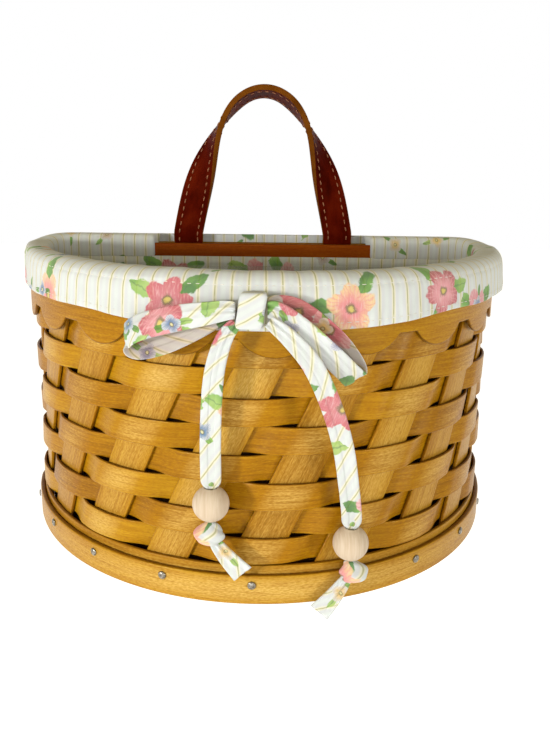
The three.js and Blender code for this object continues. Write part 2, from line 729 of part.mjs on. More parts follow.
// Tails: from the knot down over the hem, gathered through a bead to the knot below it.
const leftBead = [LEFT_BEAD_ACROSS, -LEFT_BEAD_DROP];
const rightBead = [RIGHT_BEAD_ACROSS, -RIGHT_BEAD_DROP];
const beadHalf = BEAD_DIAMETER / 2;
const beadOut = weaverOut + FIT + beadHalf - bowSeat;
const tailTop = -KNOT_HEIGHT / 2 - TAIL_SWING_GAP;
const tailEnd = -beadHalf - FIT / 2;
const beadRun = ([across, up]) => {
  return [beadHalf + BEAD_LEAD, 0, tailEnd].map((offset) => [across, up + offset, beadOut]);
};
const leftTail = [
  [-4, tailTop, 3.6], [-9.4, -14, 3.2], [-12.8, -24, 2.2], [-14.4, -40, 0.8], [-15.2, -58, -0.4],
  ...beadRun(leftBead),
];
const rightTail = [
  [knotSide + TAIL_SWING_GAP - FIT, -3.6, 7.4], [12.6, -10, 8.6], [20.4, -21, 8.6], [27.6, -38, 6.4],
  [33.6, -57, 3.4], [37.4, -76, 1],
  ...beadRun(rightBead),
];

// A tail is flat down to its bead and gathered inside it.
function tailGeometry(points, bead) {
  const neckTop = knotHeight + bead[1] + beadHalf;
  const path = new THREE.CatmullRomCurve3(points.map(tiePoint), false, "centripetal");
  const steps = 30;
  const sections = Array.from({ length: steps + 1 }, (_, k) => {
    const middle = path.getPointAt(k / steps);
    const flat = THREE.MathUtils.smoothstep(middle.z, neckTop + FIT, neckTop + TIE_WIDTH);
    const width = THREE.MathUtils.lerp(NECK_WIDTH, TIE_WIDTH, flat);
    const thickness = THREE.MathUtils.lerp(NECK_THICKNESS, TIE_THICKNESS, flat);
    return { middle, across: tieDirection(1, 0.35), width, thickness };
  });
  return stripGeometry(sections);
}

addPiece("tail_left", tailGeometry(leftTail, leftBead), cloth);
addPiece("tail_right", tailGeometry(rightTail, rightBead), cloth);

function beadGeometry() {
  const bore = BEAD_BORE / 2;
  const start = Math.asin(bore / beadHalf);
  const steps = 8;
  const profile = Array.from({ length: steps + 1 }, (_, k) => {
    const angle = start + ((Math.PI - 2 * start) * k) / steps;
    return new THREE.Vector2(beadHalf * Math.sin(angle), -beadHalf * Math.cos(angle));
  });
  return new THREE.LatheGeometry([...profile, profile[0].clone()], 16).rotateX(Math.PI / 2);
}

for (const [name, [across, up]] of [["bead_left", leftBead], ["bead_right", rightBead]]) {
  addPiece(name, beadGeometry(), bareWood).position.copy(tiePoint([across, up, beadOut]));
}

// Overhand knot below a bead, with its loose end turned to one side.
function endKnotGeometry(bead, turn) {
  const sides = 10;
  const top = tailEnd - FIT;
  const wide = END_KNOT_WIDTH;
  const tall = END_KNOT_HEIGHT;
  const sections = [
    [0, top, NECK_WIDTH, NECK_THICKNESS],
    [0, top - 0.14 * tall, 0.78 * wide, 0.6 * wide],
    [0, top - 0.45 * tall, wide, 0.82 * wide],
    [0.06 * turn * wide, top - 0.78 * tall, 0.8 * wide, 0.62 * wide],
    [0.25 * turn * wide, top - tall, 0.5 * wide, 0.28 * wide],
    [0.55 * turn * wide, top - 1.45 * tall, 0.7 * wide, 0.16 * wide],
    [0.95 * turn * wide, top - 1.92 * tall, 0.78 * wide, 0.1 * wide],
  ];
  const rings = sections.map(([across, up, width, thickness]) => {
    return Array.from({ length: sides }, (_, k) => {
      const angle = (2 * Math.PI * k) / sides;
      const side = bead[0] + across + (width * Math.cos(angle)) / 2;
      return tiePoint([side, bead[1] + up, beadOut + (thickness * Math.sin(angle)) / 2]);
    });
  });
  return loft(rings, false);
}

addPiece("end_knot_left", endKnotGeometry(leftBead, 1), cloth);
addPiece("end_knot_right", endKnotGeometry(rightBead, -1), cloth);

// The origin is under the crown of the strap, where it rests on its peg.
assembly.position.set(0, -strapCrown(0).y, -(strapTop - STRAP_THICKNESS / 2));
const hangingBasket = new THREE.Group();
hangingBasket.add(assembly);

export default hangingBasket;
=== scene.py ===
import bpy
import numpy as np
from mathutils import Matrix


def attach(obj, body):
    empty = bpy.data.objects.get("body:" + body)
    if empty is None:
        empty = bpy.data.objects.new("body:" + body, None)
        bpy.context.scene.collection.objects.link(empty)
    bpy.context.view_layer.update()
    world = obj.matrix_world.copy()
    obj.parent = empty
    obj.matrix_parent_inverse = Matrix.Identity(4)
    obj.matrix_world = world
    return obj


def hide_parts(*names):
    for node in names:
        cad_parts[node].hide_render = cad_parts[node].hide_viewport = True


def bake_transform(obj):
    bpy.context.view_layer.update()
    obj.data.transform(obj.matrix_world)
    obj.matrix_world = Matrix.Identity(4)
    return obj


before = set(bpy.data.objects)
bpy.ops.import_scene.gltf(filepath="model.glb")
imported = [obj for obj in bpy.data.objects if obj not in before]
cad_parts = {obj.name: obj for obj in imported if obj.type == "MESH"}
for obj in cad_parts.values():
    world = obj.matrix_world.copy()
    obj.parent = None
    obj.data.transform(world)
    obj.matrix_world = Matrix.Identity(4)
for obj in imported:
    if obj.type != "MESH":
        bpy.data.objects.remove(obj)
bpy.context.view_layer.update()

# Base board: a solid maple plank cut to the half-round plan of the basket, sanded and oiled.
# The feet of the uprights are fixed round its edge, and its straight side is the basket's back.
MM = 0.001
WALL_HALF_WIDTH = 121.3
WALL_REACH = 134.9
WIDEST_Y = 4.65
BACK_Y = 3.1
CORNER_RADIUS = 18.0
UNDERSIDE = -223.2
PLAN_MIDDLE = np.array([0, -0.055, 0])
BOARD_EDGE, BOARD_TOP, BOARD_ROUND = -1.33, 9.0, 0.6


def half_plan():
    """Running length, points and outward normals of half the wall's mid-line: a quarter ellipse
    from the front centre, an arc tangent to it and to the straight back, then the back's centre."""
    low, high = np.pi / 4, 0.75 * np.pi
    for _ in range(60):
        meet = (low + high) / 2
        lean_y = -np.cos(meet) / WALL_REACH
        lean_y /= np.hypot(np.sin(meet) / WALL_HALF_WIDTH, np.cos(meet) / WALL_REACH)
        arc_y = WIDEST_Y - WALL_REACH * np.cos(meet) - CORNER_RADIUS * lean_y
        low, high = (meet, high) if arc_y < BACK_Y - CORNER_RADIUS else (low, meet)
    turn = np.linspace(0, meet, 500)
    front = np.stack([WALL_HALF_WIDTH * np.sin(turn), WIDEST_Y - WALL_REACH * np.cos(turn)], 1)
    front_out = np.stack([np.sin(turn) / WALL_HALF_WIDTH, -np.cos(turn) / WALL_REACH], 1)
    front_out /= np.linalg.norm(front_out, axis=1, keepdims=True)
    first = np.arctan2(front_out[-1, 1], front_out[-1, 0])
    swing = np.linspace(first, np.pi / 2, 200)[1:]
    corner_out = np.stack([np.cos(swing), np.sin(swing)], 1)
    corner = front[-1] + CORNER_RADIUS * (corner_out - front_out[-1])
    points = np.concatenate([front, corner, [[0, BACK_Y]]])
    outward = np.concatenate([front_out, corner_out, [[0, 1]]])
    steps = np.linalg.norm(np.diff(points, axis=0), axis=1)
    return np.concatenate([[0], np.cumsum(steps)]), points, outward


plan_length, plan_points, plan_out = half_plan()
HALF_ROUND = plan_length[-1]


def all_round(steps):
    """Even distances along the wall, from the back's centre by the front to the back's centre again."""
    return np.linspace(-HALF_ROUND, HALF_ROUND, steps + 1)


def from_front(s):
    """Distance s along the wall, counted from the front centre: negative to the left."""
    return (s + HALF_ROUND) % (2 * HALF_ROUND) - HALF_ROUND


def outward_y(s):
    """Y of the wall's outward normal at distance s from the front centre: -1 in front, 1 at the back."""
    return np.interp(np.abs(from_front(s)), plan_length, plan_out[:, 1])


def highlight_share(s, everywhere, front, power=3):
    """How strong the painted highlight on a crest is: a share everywhere, and more by a power of how
    far the wall faces the front, where the lights stand."""
    return everywhere + front * np.clip(-outward_y(s), 0, 1) ** power


def wall(s, n, z):
    """Point at distance s along the wall from the front centre, n out from the middle of the
    uprights and z above the underside: millimetres in, metres in the row frame out."""
    s, n, z = np.broadcast_arrays(s, n, z)
    local = from_front(s)
    side = np.where(local < 0, -1.0, 1.0)
    tables = (*plan_out.T, *plan_points.T)
    out_x, out_y, at_x, at_y = (np.interp(np.abs(local), plan_length, table) for table in tables)
    size = np.hypot(out_x, out_y)
    x = side * (at_x + n * out_x / size)
    return np.stack([x, at_y + n * out_y / size, z + UNDERSIDE], -1) * MM


def add_skin(name, points, uv=None, around=False, along=False, capped=False, keep=None, **marks):
    """Smooth mesh of a grid of points with rows along the piece and columns across it. around closes
    the columns, along closes the rows, capped fills both ends, keep masks faces, and marks become
    attributes. Faces of a closed skin are turned outwards by the sign of its volume."""
    rows, columns = points.shape[:2]
    uv = np.zeros((rows + 1, columns + 1, 2)) if uv is None else uv
    i, j = np.meshgrid(np.arange(rows - (not along)), np.arange(columns - (not around)), indexing="ij")
    corner_i = np.stack([i, i + 1, i + 1, i], -1).reshape(-1, 4)
    corner_j = np.stack([j, j, j + 1, j + 1], -1).reshape(-1, 4)
    if keep is not None:
        corner_i, corner_j = corner_i[keep.ravel()], corner_j[keep.ravel()]
    faces = (corner_i % rows) * columns + corner_j % columns
    flat = points.reshape(-1, 3)
    a, b, c, d = (flat[faces[:, k]] for k in range(4))
    volume = np.einsum("ij,ij->", a, np.cross(b, c)) + np.einsum("ij,ij->", a, np.cross(c, d))
    closed = around and (along or capped)
    order = [3, 2, 1, 0] if closed and volume < 0 else [0, 1, 2, 3]
    faces, corner_i, corner_j = faces[:, order], corner_i[:, order], corner_j[:, order]
    loop_uv = uv[corner_i, corner_j].reshape(-1, 2)
    face_list = faces.tolist()
    if capped:
        ends = [np.arange(columns), np.arange(columns)[::-1] + (rows - 1) * columns]
        ends = [end[::-1] for end in ends] if order[0] == 3 else ends
        face_list += [end.tolist() for end in ends]
        loop_uv = np.concatenate([loop_uv] + [uv[end // columns, end % columns] for end in ends])
    mesh = bpy.data.meshes.new(name)
    mesh.from_pydata(flat.tolist(), [], face_list)
    layer = mesh.uv_layers.new(name="lay")
    layer.data.foreach_set("uv", loop_uv.astype(np.float32).ravel())
    mesh.polygons.foreach_set("use_smooth", np.ones(len(mesh.polygons), bool))
    for label, values in marks.items():
        values = np.broadcast_to(values, points.shape[:2]).astype(np.float32)
        mesh.attributes.new(label, "FLOAT", "POINT").data.foreach_set("value", values.ravel())
    mesh.update()
    piece = bpy.data.objects.new(name, mesh)
    bpy.context.scene.collection.objects.link(piece)
    return piece


def fit(piece, finish, slot, *nodes, body="basket", follows=None):
    """Gives a piece its finish, the body that carries it and the solids it stands for. slot is not used.
    With follows, the piece is hung on no body and its place is baked into its mesh."""
    piece.data.materials.append(finish)
    if follows:
        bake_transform(piece)
    else:
        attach(piece, body)
    if nodes:
        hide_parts(*nodes)


def paint(red, green, blue):
    """Linear surface colour that shows as a display colour, given from 0 to 255, in the studio's light."""
    share = np.array([red, green, blue]) / 255
    linear = np.where(share <= 0.04045, share / 12.92, ((share + 0.055) / 1.055) ** 2.4)
    return (*(0.72 * linear).tolist(), 1.0)


class Tone:
    """An output of a shader node that adds, multiplies and blends like a number: each sum is a node."""

    def __init__(self, tree, socket):
        """Keeps the node tree and the output."""
        self.tree = tree
        self.socket = socket

    def output(self, name):
        """Another output of the same node."""
        return Tone(self.tree, self.socket.node.outputs[name])

    def mark(self, name):
        """A piece's own attribute."""
        return put(self.tree, "Attribute", {}, "Fac", attribute_name=name)

    def math(self, operation, other=0.0):
        """One sum on values."""
        return put(self.tree, "Math", {0: self, 1: other}, operation=operation)

    def __add__(self, other):
        """Sum of two values."""
        return self.math("ADD", other)

    def __sub__(self, other):
        """Difference of two values."""
        return self.math("SUBTRACT", other)

    def __mul__(self, other):
        """Product of two values."""
        return self.math("MULTIPLY", other)

    def __truediv__(self, other):
        """Quotient of two values."""
        return self.math("DIVIDE", other)

    def move(self, operation, other):
        """One sum on vectors."""
        return put(self.tree, "VectorMath", {0: self, 1: other}, operation=operation)

    def scaled(self, amount):
        """A vector times a number."""
        return put(self.tree, "VectorMath", {0: self, "Scale": amount}, operation="SCALE")

    def step(self, start, end, low=0.0, high=1.0):
        """Smooth step of the value from start to end."""
        ends = {"Value": self, "From Min": start, "From Max": end, "To Min": low, "To Max": high}
        return put(self.tree, "MapRange", ends, "Result", interpolation_type="SMOOTHSTEP")

    def mix(self, first, second, blend="MIX"):
        """Second colour over the first by this value."""
        colours = {0: self, 6: first, 7: second}
        return put(self.tree, "Mix", colours, 2, data_type="RGBA", blend_type=blend)

    def ramp(self, *stops):
        """Colours blended along the value; stops are (place, colour), lowest first."""
        blended = put(self.tree, "ValToRGB", {"Fac": self}, "Color")
        elements = blended.socket.node.color_ramp.elements
        for place, _ in stops[2:]:
            elements.new(place)
        for element, stop in zip(elements, stops):
            element.position, element.color = stop
        return blended

    def noise(self, scale, stretch=(1, 1, 1), detail=4.0, roughness=0.6, distortion=0.0):
        """Noise over this vector, stretched, as a value."""
        laid = put(self.tree, "Mapping", {"Vector": self, "Scale": stretch})
        sizes = {"Detail": detail, "Roughness": roughness, "Distortion": distortion}
        return put(self.tree, "TexNoise", {"Vector": laid, "Scale": scale, **sizes}, "Fac")


def feed(node, inputs):
    """Gives a shader node its inputs: numbers, colours or tones."""
    for key, value in inputs.items():
        if isinstance(value, Tone):
            value.tree.links.new(value.socket, node.inputs[key])
        else:
            node.inputs[key].default_value = value


def put(tree, kind, inputs, output=0, **settings):
    """Adds a shader node and returns one of its outputs."""
    node = tree.nodes.new("ShaderNode" + kind)
    for key, value in settings.items():
        setattr(node, key, value)
    feed(node, inputs)
    return Tone(tree, node.outputs[output])


def new_finish(name, place):
    """A material, its main shader, and the UV or Object coordinates that its patterns follow."""
    finish = bpy.data.materials.new(name)
    finish.use_nodes = True
    return finish, finish.node_tree.nodes["Principled BSDF"], put(finish.node_tree, "TexCoord", {}, place)


def relief(shader, height, strength, distance):
    """Fine relief on a shader."""
    sizes = {"Height": height, "Strength": strength, "Distance": distance}
    feed(shader, {"Normal": put(height.tree, "Bump", sizes, "Normal")})


def oiled_maple(name, dark, middle, light, shine):
    """Maple splint: long grain streaks and short pores along the strip's U, slow drifts of tone from
    strip to strip, darker edges, a painted highlight in pale gold on the crests, speckled by the
    pores, and a satin oil finish."""
    finish, shader, lay = new_finish(name, "UV")
    grain = lay.noise(1.0, (40, 820, 1), 6, 0.62, 0.5)
    pores = lay.noise(1.0, (560, 1800, 1), 2, 0.5)
    drift = lay.noise(1.0, (3.1, 21, 1), 2, 0.5, 0.6)
    mixed = grain * 0.55 + drift * 0.45
    wood = mixed.ramp((0.22, dark), (0.5, middle), (0.76, light))
    wood = pores.step(0.5, 0.75, 0, 0.3).mix(wood, dark)
    wood = pores.step(0.48, 0.25, 0, 0.4).mix(wood, light)
    # Painted highlight: pale gold mixed in where the crest mark says, speckled by the pores.
    highlight_share = lay.mark("crest") * mixed.step(0.38, 0.6, 0.25, 0.85) * pores.step(0.62, 0.36, 0.45, 1.0)
    wood = highlight_share.mix(wood, paint(242, 203, 114))
    wood = lay.mark("edge").step(0.94, 1.0, 0, 0.6).mix(wood, paint(84, 44, 8))
    feed(shader, {
        "Base Color": wood,
        "Roughness": pores.step(0.3, 0.8, 0.3, 0.46),
        "Specular IOR Level": shine,
        "Specular Tint": (1.0, 0.9, 0.66, 1.0),
    })
    relief(shader, grain + pores * 0.6, 0.22, 0.0004)
    return finish


def plate(edge, low, high):
    """Flat plate with the wall's outline: rings shrink to the middle on top and underneath, with a
    small round at the rim."""
    shrink = np.array([0, 0.5, 0.96, 1, 1, 1, 1, 0.96, 0.5, 0])
    pull = BOARD_ROUND * np.array([0, 0, 0, -1, 0, 0, -1, 0, 0, 0])
    height = np.array([low] * 4 + [low + BOARD_ROUND, high - BOARD_ROUND] + [high] * 4)
    outline = wall(all_round(360)[None, :-1], edge + pull[:, None], height[:, None])
    scale = np.stack([shrink, shrink, np.ones(10)], 1)[:, None, :]
    return PLAN_MIDDLE * (1 - scale) + outline * scale


maple = oiled_maple("oiled_maple", paint(114, 61, 1), paint(181, 123, 6), paint(215, 164, 26), shine=0.18)
board_points = plate(BOARD_EDGE, 0.0, BOARD_TOP)
board_uv = np.concatenate([board_points, board_points[:, :1]], 1)[..., :2]
base_board = add_skin("base_board_plank", board_points, board_uv, around=True, edge=0.0)
fit(base_board, maple, "maple", "base_board")

# Filler strip and base band: two bent maple bands round the feet of the uprights, one in front of
# the other, glued and tacked to the board. The filler shows as a narrow step above the band.
FILLER = (1.15, 2.95, 0.0, 17.6)
BASE_BAND = (3.3, 5.7, 0.0, 14.0)


def strip_section(width, thickness, rounding, flats=9):
    """Closed section of a flat strip: along one face, round the edge, back along the other face and
    round the other edge. Returns places across and through the strip."""
    half, deep = width / 2 - rounding, thickness / 2 - rounding
    flat = half * np.sin(np.linspace(-np.pi / 2, np.pi / 2, flats))
    quarter = np.linspace(0, np.pi / 2, 5)[1:]
    edge_a = np.concatenate([half + rounding * np.sin(quarter), half + rounding * np.cos(quarter)])
    edge_b = np.concatenate([-deep - rounding * np.cos(quarter), deep + rounding * np.sin(quarter)])
    faces = np.repeat([-thickness / 2, thickness / 2], [flats, flats - 1])
    across = np.concatenate([flat, edge_a, flat[::-1][1:], -edge_a])
    through = np.concatenate([faces[:flats], edge_b, faces[flats:], -edge_b])
    return across[:-1], through[:-1]


def lay_uv(u, v):
    """UV in metres from places along and across a piece, in millimetres."""
    return np.stack(np.broadcast_arrays(u, v), -1) * MM


def strip_uv(u, across):
    """UV of a strip: along it by u, and across it by its closed section."""
    return lay_uv(u, np.append(across, across[0])[None])


def bent_band(name, node, inner, outer, low, high, rounding, shift, finish=maple):
    """Band all round the wall: a rounded strip section carried along the wall's whole length."""
    across, through = strip_section(high - low, outer - inner, rounding)
    s = all_round(420)[:, None]
    points = wall(s[:-1], (inner + outer) / 2 + through[None], (low + high) / 2 + across[None])
    rim = np.abs(across)[None] / (high - low) * 2
    # Painted highlight along the middle of the band, only where it faces the front.
    crest = highlight_share(s[:-1], 0.0, 0.9, power=2) * (1 - rim**2)
    uv = strip_uv(s + shift, across)
    band = add_skin(name, points, uv, around=True, along=True, edge=rim, crest=crest)
    fit(band, finish, "maple", node)


bent_band("filler_strip", "base_filler", *FILLER, rounding=0.7, shift=5900)
bent_band("foot_band", "base_band", *BASE_BAND, rounding=0.9, shift=5100)

# Uprights: flat maple splints that lean to one side all round, from the board's edge to the rim.
# Their feet and tops are caught between the bands.
STAKE_COUNT = 16
STAKE_PITCH = 2 * HALF_ROUND / STAKE_COUNT
FIRST_STAKE = -53.5
STAKE_WIDTH, STAKE_THICKNESS, SPLINT_ROUND = 19.0, 1.6, 0.45
STAKE_TURN = np.radians(25)
LEAN = np.tan(STAKE_TURN)
STAKE_RUN = STAKE_WIDTH / np.cos(STAKE_TURN)
GRAIN_START, GRAIN_STEP = 400, 1700
STAKE_FOOT, STAKE_TOP = 0.5, 143.0

stake_z = np.linspace(STAKE_FOOT, STAKE_TOP, 70)[:, None]
stake_across, stake_through = strip_section(STAKE_RUN, STAKE_THICKNESS, SPLINT_ROUND)
stake_rim = 0.965 * np.abs(stake_across)[None] / STAKE_RUN * 2
for k in range(STAKE_COUNT):
    line = FIRST_STAKE + k * STAKE_PITCH + LEAN * stake_z
    points = wall(line + stake_across[None], stake_through[None], stake_z)
    uv = strip_uv(stake_z + GRAIN_START + GRAIN_STEP * k, stake_across)
    # Painted highlight down the middle of each upright, stronger on the front.
    marks = {"edge": stake_rim, "crest": (1 - stake_rim**2) * highlight_share(line, 0.2, 0.55)}
    upright = add_skin(f"upright_{k + 1:02d}", points, uv, around=True, capped=True, **marks)
    fit(upright, maple, "maple", f"stake_{k + 1:02d}")

# Weavers: thin maple splints that pass in front of one upright and behind the next, row by row.
# They bow over the uprights, and their turns run along the leaning edges.
ROW_START, ROW_PITCH, ROW_GAP = 17.95, 12.60625, 0.4
ROW_HEIGHT = ROW_PITCH - ROW_GAP
WEAVER_THICKNESS = 1.3
WEAVER_MIDDLE = 1.8
WEAVER_LAND = STAKE_RUN / 2 + 0.8
WEAVER_STEPS, ROW_GRAIN = 28, 2900
ROW_BOW = [0.75, 0.7, 0.75, 0.28, 0.7, 0.75, 0.75, 0.2]

weaver_across, weaver_through = strip_section(ROW_HEIGHT, WEAVER_THICKNESS, SPLINT_ROUND)
weaver_rim = np.abs(weaver_across)[None] / ROW_HEIGHT * 2
station = np.linspace(0, 2 * HALF_ROUND, STAKE_COUNT * WEAVER_STEPS + 1)[:, None]
nearest = np.round(station / STAKE_PITCH)
off = np.abs(station - nearest * STAKE_PITCH)
fade = np.clip((off - WEAVER_LAND) / (STAKE_PITCH - 2 * WEAVER_LAND), 0, 0.5)
arch = np.clip(1 - (off / WEAVER_LAND) ** 2, 0, 1)
for row, bow in enumerate(ROW_BOW):
    side = np.where((nearest + row) % 2 == 0, -1.0, 1.0)
    middle = side * (WEAVER_MIDDLE * np.cos(np.pi * fade) + bow * arch)
    height = ROW_START + row * ROW_PITCH + ROW_HEIGHT / 2 + weaver_across[None]
    line = FIRST_STAKE + station[:-1] + LEAN * height
    points = wall(line, middle[:-1] + weaver_through[None], height)
    # Painted highlight on each weaver's bulge over an upright, stronger on the front.
    crest = np.clip(side * arch, 0, 1)[:-1] * np.sqrt(1 - weaver_rim**2)
    marks = {"edge": weaver_rim, "crest": crest * highlight_share(line, 0.45, 0.55)}
    uv = strip_uv(FIRST_STAKE + station + ROW_GRAIN * row, weaver_across)
    weaver = add_skin(f"weave_row_{row + 1:02d}", points, uv, around=True, along=True, **marks)
    fit(weaver, maple, "maple", f"weaver_{row + 1:02d}")

# Rim: a maple strip with one scallop over each upright outside the weave, and a plain band inside it.
# The band's top edge is bare where the strap comes up, and the liner hides the rest.
SCALLOP_IN, SCALLOP_OUT = 2.8, 4.6
SCALLOP_TIP, SCALLOP_RADIUS, SCALLOP_NOTCH = 111.0, 17.5, 118.8
RIM_TOP, SCALLOP_GRAIN = 144.0, 11300
INNER_BAND = (-5.4, -3.0, 124.0, RIM_TOP)

scallop_turn = np.linspace(-np.pi / 2, np.pi / 2, 33)
scallop_middle = FIRST_STAKE + np.arange(STAKE_COUNT) * STAKE_PITCH
scallop_middle = scallop_middle + LEAN * (SCALLOP_TIP + SCALLOP_RADIUS / 2)
scallop_s = (scallop_middle[:, None] + SCALLOP_RADIUS * np.sin(scallop_turn)[None]).reshape(-1, 1)
scallop_low = np.tile(SCALLOP_TIP + SCALLOP_RADIUS * (1 - np.cos(scallop_turn)), STAKE_COUNT)[:, None]
scallop_low = np.minimum(scallop_low, SCALLOP_NOTCH)
scallop_across, scallop_through = strip_section(2.0, SCALLOP_OUT - SCALLOP_IN, 0.06)
scallop_through = strip_section(20.0, SCALLOP_OUT - SCALLOP_IN, 0.6)[1]
scallop_z = scallop_low + (scallop_across[None] + 1) / 2 * (RIM_TOP - scallop_low)
scallop_points = wall(scallop_s, (SCALLOP_IN + SCALLOP_OUT) / 2 + scallop_through[None], scallop_z)
scallop_u = np.append(scallop_s, scallop_s[:1] + 2 * HALF_ROUND, 0)
scallop_uv = lay_uv(scallop_u + SCALLOP_GRAIN, np.pad(scallop_z, ((0, 1), (0, 1)), mode="wrap"))
marks = {"edge": np.abs(scallop_across)[None]}
scallops = add_skin("rim_scallop_strip", scallop_points, scallop_uv, around=True, along=True, **marks)
fit(scallops, maple, "maple", "rim_scallops")
rail_stain = oiled_maple("stained_rail", paint(102, 38, 1), paint(154, 68, 2), paint(180, 94, 8), shine=0.08)
bent_band("rim_rail", "rim_inner_band", *INNER_BAND, rounding=0.8, shift=7700, finish=rail_stain)

# Tacks: small domed steel nails through the base band into the feet of the uprights, on the front
# and the sides.
TACKED = [0, 1, 2, 3, 4, 5, 6, 13, 14, 15]
TACK_RADIUS, TACK_HEIGHT = 1.9, 0.8
TACK_Z, TACK_SHIFT, TACK_SEAT, TACK_SIDES = 9.6, 4.0, 6.0, 20


def two_tone(name, scale, spread, dark, light, **grain):
    """Finish that blends from dark to light by noise, within a spread about its middle. Returns the
    finish, its shader and the noise."""
    finish, shader, place = new_finish(name, "Object")
    tone = place.noise(scale, **grain)
    feed(shader, {"Base Color": tone.ramp((0.5 - spread, dark), (0.5 + spread, light))})
    return finish, shader, tone


def full_turn(sides):
    """Even angles once round."""
    return np.linspace(0, 2 * np.pi, sides, endpoint=False)


steel, shader, patch = two_tone("worn_steel", 900.0, 0.15, paint(120, 112, 100), paint(198, 194, 184))
feed(shader, {"Roughness": patch.step(0.3, 0.7, 0.5, 0.3), "Metallic": 1.0})
relief(shader, patch, 0.2, 0.0001)
tack_rise = np.array([0, 0, 0.25, 0.62, 0.88, 1, 1.0])
tack_reach = np.array([0, 0.97, 1, 0.86, 0.58, 0.25, 0])
tack_turn = full_turn(TACK_SIDES)[:, None]
tack_s = FIRST_STAKE + np.array(TACKED) * STAKE_PITCH + LEAN * TACK_Z + TACK_SHIFT
tack_base = wall(tack_s, TACK_SEAT, TACK_Z)
tack_axis = wall(tack_s, TACK_SEAT + 1 / MM, TACK_Z) - tack_base
tack_side = np.stack([-tack_axis[:, 1], tack_axis[:, 0], 0 * tack_s], -1)
ring = TACK_RADIUS * MM * tack_reach[None, :, None, None]
disc = np.cos(tack_turn) * tack_side[:, None, None] + np.sin(tack_turn) * np.array([0, 0, 1.0])
lift = TACK_HEIGHT * MM * tack_rise[None, :, None, None] * tack_axis[:, None, None]
tack_points = (tack_base[:, None, None] + ring * disc + lift).reshape(-1, TACK_SIDES, 3)
tack_keep = np.ones((len(tack_points) - 1, TACK_SIDES), bool)
tack_keep[len(tack_rise) - 1::len(tack_rise)] = False
tacks = add_skin("base_tacks", tack_points, around=True, keep=tack_keep)
fit(tacks, steel, "steel", *[f"tack_{k + 1:02d}" for k in TACKED])

# Hanging strap: one strip of red-brown leather with thinned ends behind the rim rail. Its legs stand
# flat to the basket's back and turn a quarter towards the crown. The real strap flexes just above
# the rim, but here it is drawn as one fixed piece.
STRAP_WIDTH, STRAP_THICKNESS, TAB_THICKNESS = 16.0, 3.0, 1.5
STRAP_HALF_SPREAD, STRAP_Y = 41.5, 1.2
FLEX_Z, TAB_END_Z, CROWN_Z = -76.7, -92.2, 1.5
STRAP_LEAD, STRAP_THINNING = 3.0, 9.0
LEG_HANDLE, CROWN_HANDLE = (35.5, -42.7), 24.0
STRAP_TWIST = np.radians(102)
STRAP_FLEX = ("handle", *[(0, STRAP_Y * MM, (FLEX_Z + step) * MM) for step in (-3, 3)])


def smooth(value, start, end):
    """Smooth step of an array from start to end."""
    share = np.clip((value - start) / (end - start), 0, 1)
    return share * share * (3 - 2 * share)


def unit(vectors):
    """Vectors of length one."""
    return vectors / np.linalg.norm(vectors, axis=-1, keepdims=True)


def running(line):
    """Running length along a row of points."""
    return np.concatenate([[0], np.cumsum(np.linalg.norm(np.diff(line, axis=0), axis=1))])


def along_line(at, run, line):
    """Points on a line at running lengths."""
    return np.stack([np.interp(at, run, line[:, k]) for k in range(3)], -1)


def strap_line():
    """The strap's middle line in millimetres: a tab straight up to the flex line, a short upright
    lead and half an arch on a cubic curve, mirrored."""
    t = np.linspace(0, 1, 400)[:, None]
    handles = np.array([
        [-STRAP_HALF_SPREAD, STRAP_Y, FLEX_Z + STRAP_LEAD],
        [-LEG_HANDLE[0], STRAP_Y, LEG_HANDLE[1]],
        [-CROWN_HANDLE, 0, CROWN_Z],
        [0, 0, CROWN_Z],
    ])
    weights = np.concatenate([(1 - t) ** 3, 3 * t * (1 - t) ** 2, 3 * t**2 * (1 - t), t**3], 1)
    tab_z = np.linspace(TAB_END_Z, FLEX_Z + STRAP_LEAD, 90, endpoint=False)
    tab = np.stack([np.full(90, -STRAP_HALF_SPREAD), np.full(90, STRAP_Y), tab_z], 1)
    half = np.concatenate([tab, weights @ handles])
    return np.concatenate([half, half[::-1][1:] * [-1, 1, 1]])


strap_path = strap_line()
strap_run = running(strap_path)
STRAP_LENGTH = strap_run[-1]
TAB_RUN = FLEX_Z + STRAP_LEAD - TAB_END_Z


def strap_frame(run):
    """Middle, direction across, direction through, thickness and direction along of the strap at
    running lengths. The strip turns from flat at the legs to square at the crown, inner edge to the
    front."""
    middle, ahead, behind = (along_line(run + step, strap_run, strap_path) for step in (0, 0.8, -0.8))
    tangent = unit(ahead - behind)
    front = np.array([0, -1.0, 0])
    inward = unit(np.cross(tangent, front))
    from_foot = np.minimum(run, STRAP_LENGTH - run) - TAB_RUN
    share = from_foot / (STRAP_LENGTH / 2 - TAB_RUN)
    twist = (STRAP_TWIST * smooth(share, 0.06, 0.86))[..., None]
    across = inward * np.cos(twist) + front * np.sin(twist)
    across = unit(across - np.sum(across * tangent, -1, keepdims=True) * tangent)
    thin = np.clip((from_foot + STRAP_LEAD) / STRAP_THINNING, 0, 1)
    thickness = TAB_THICKNESS + (STRAP_THICKNESS - TAB_THICKNESS) * thin
    return middle, across, np.cross(tangent, across), thickness[..., None], tangent


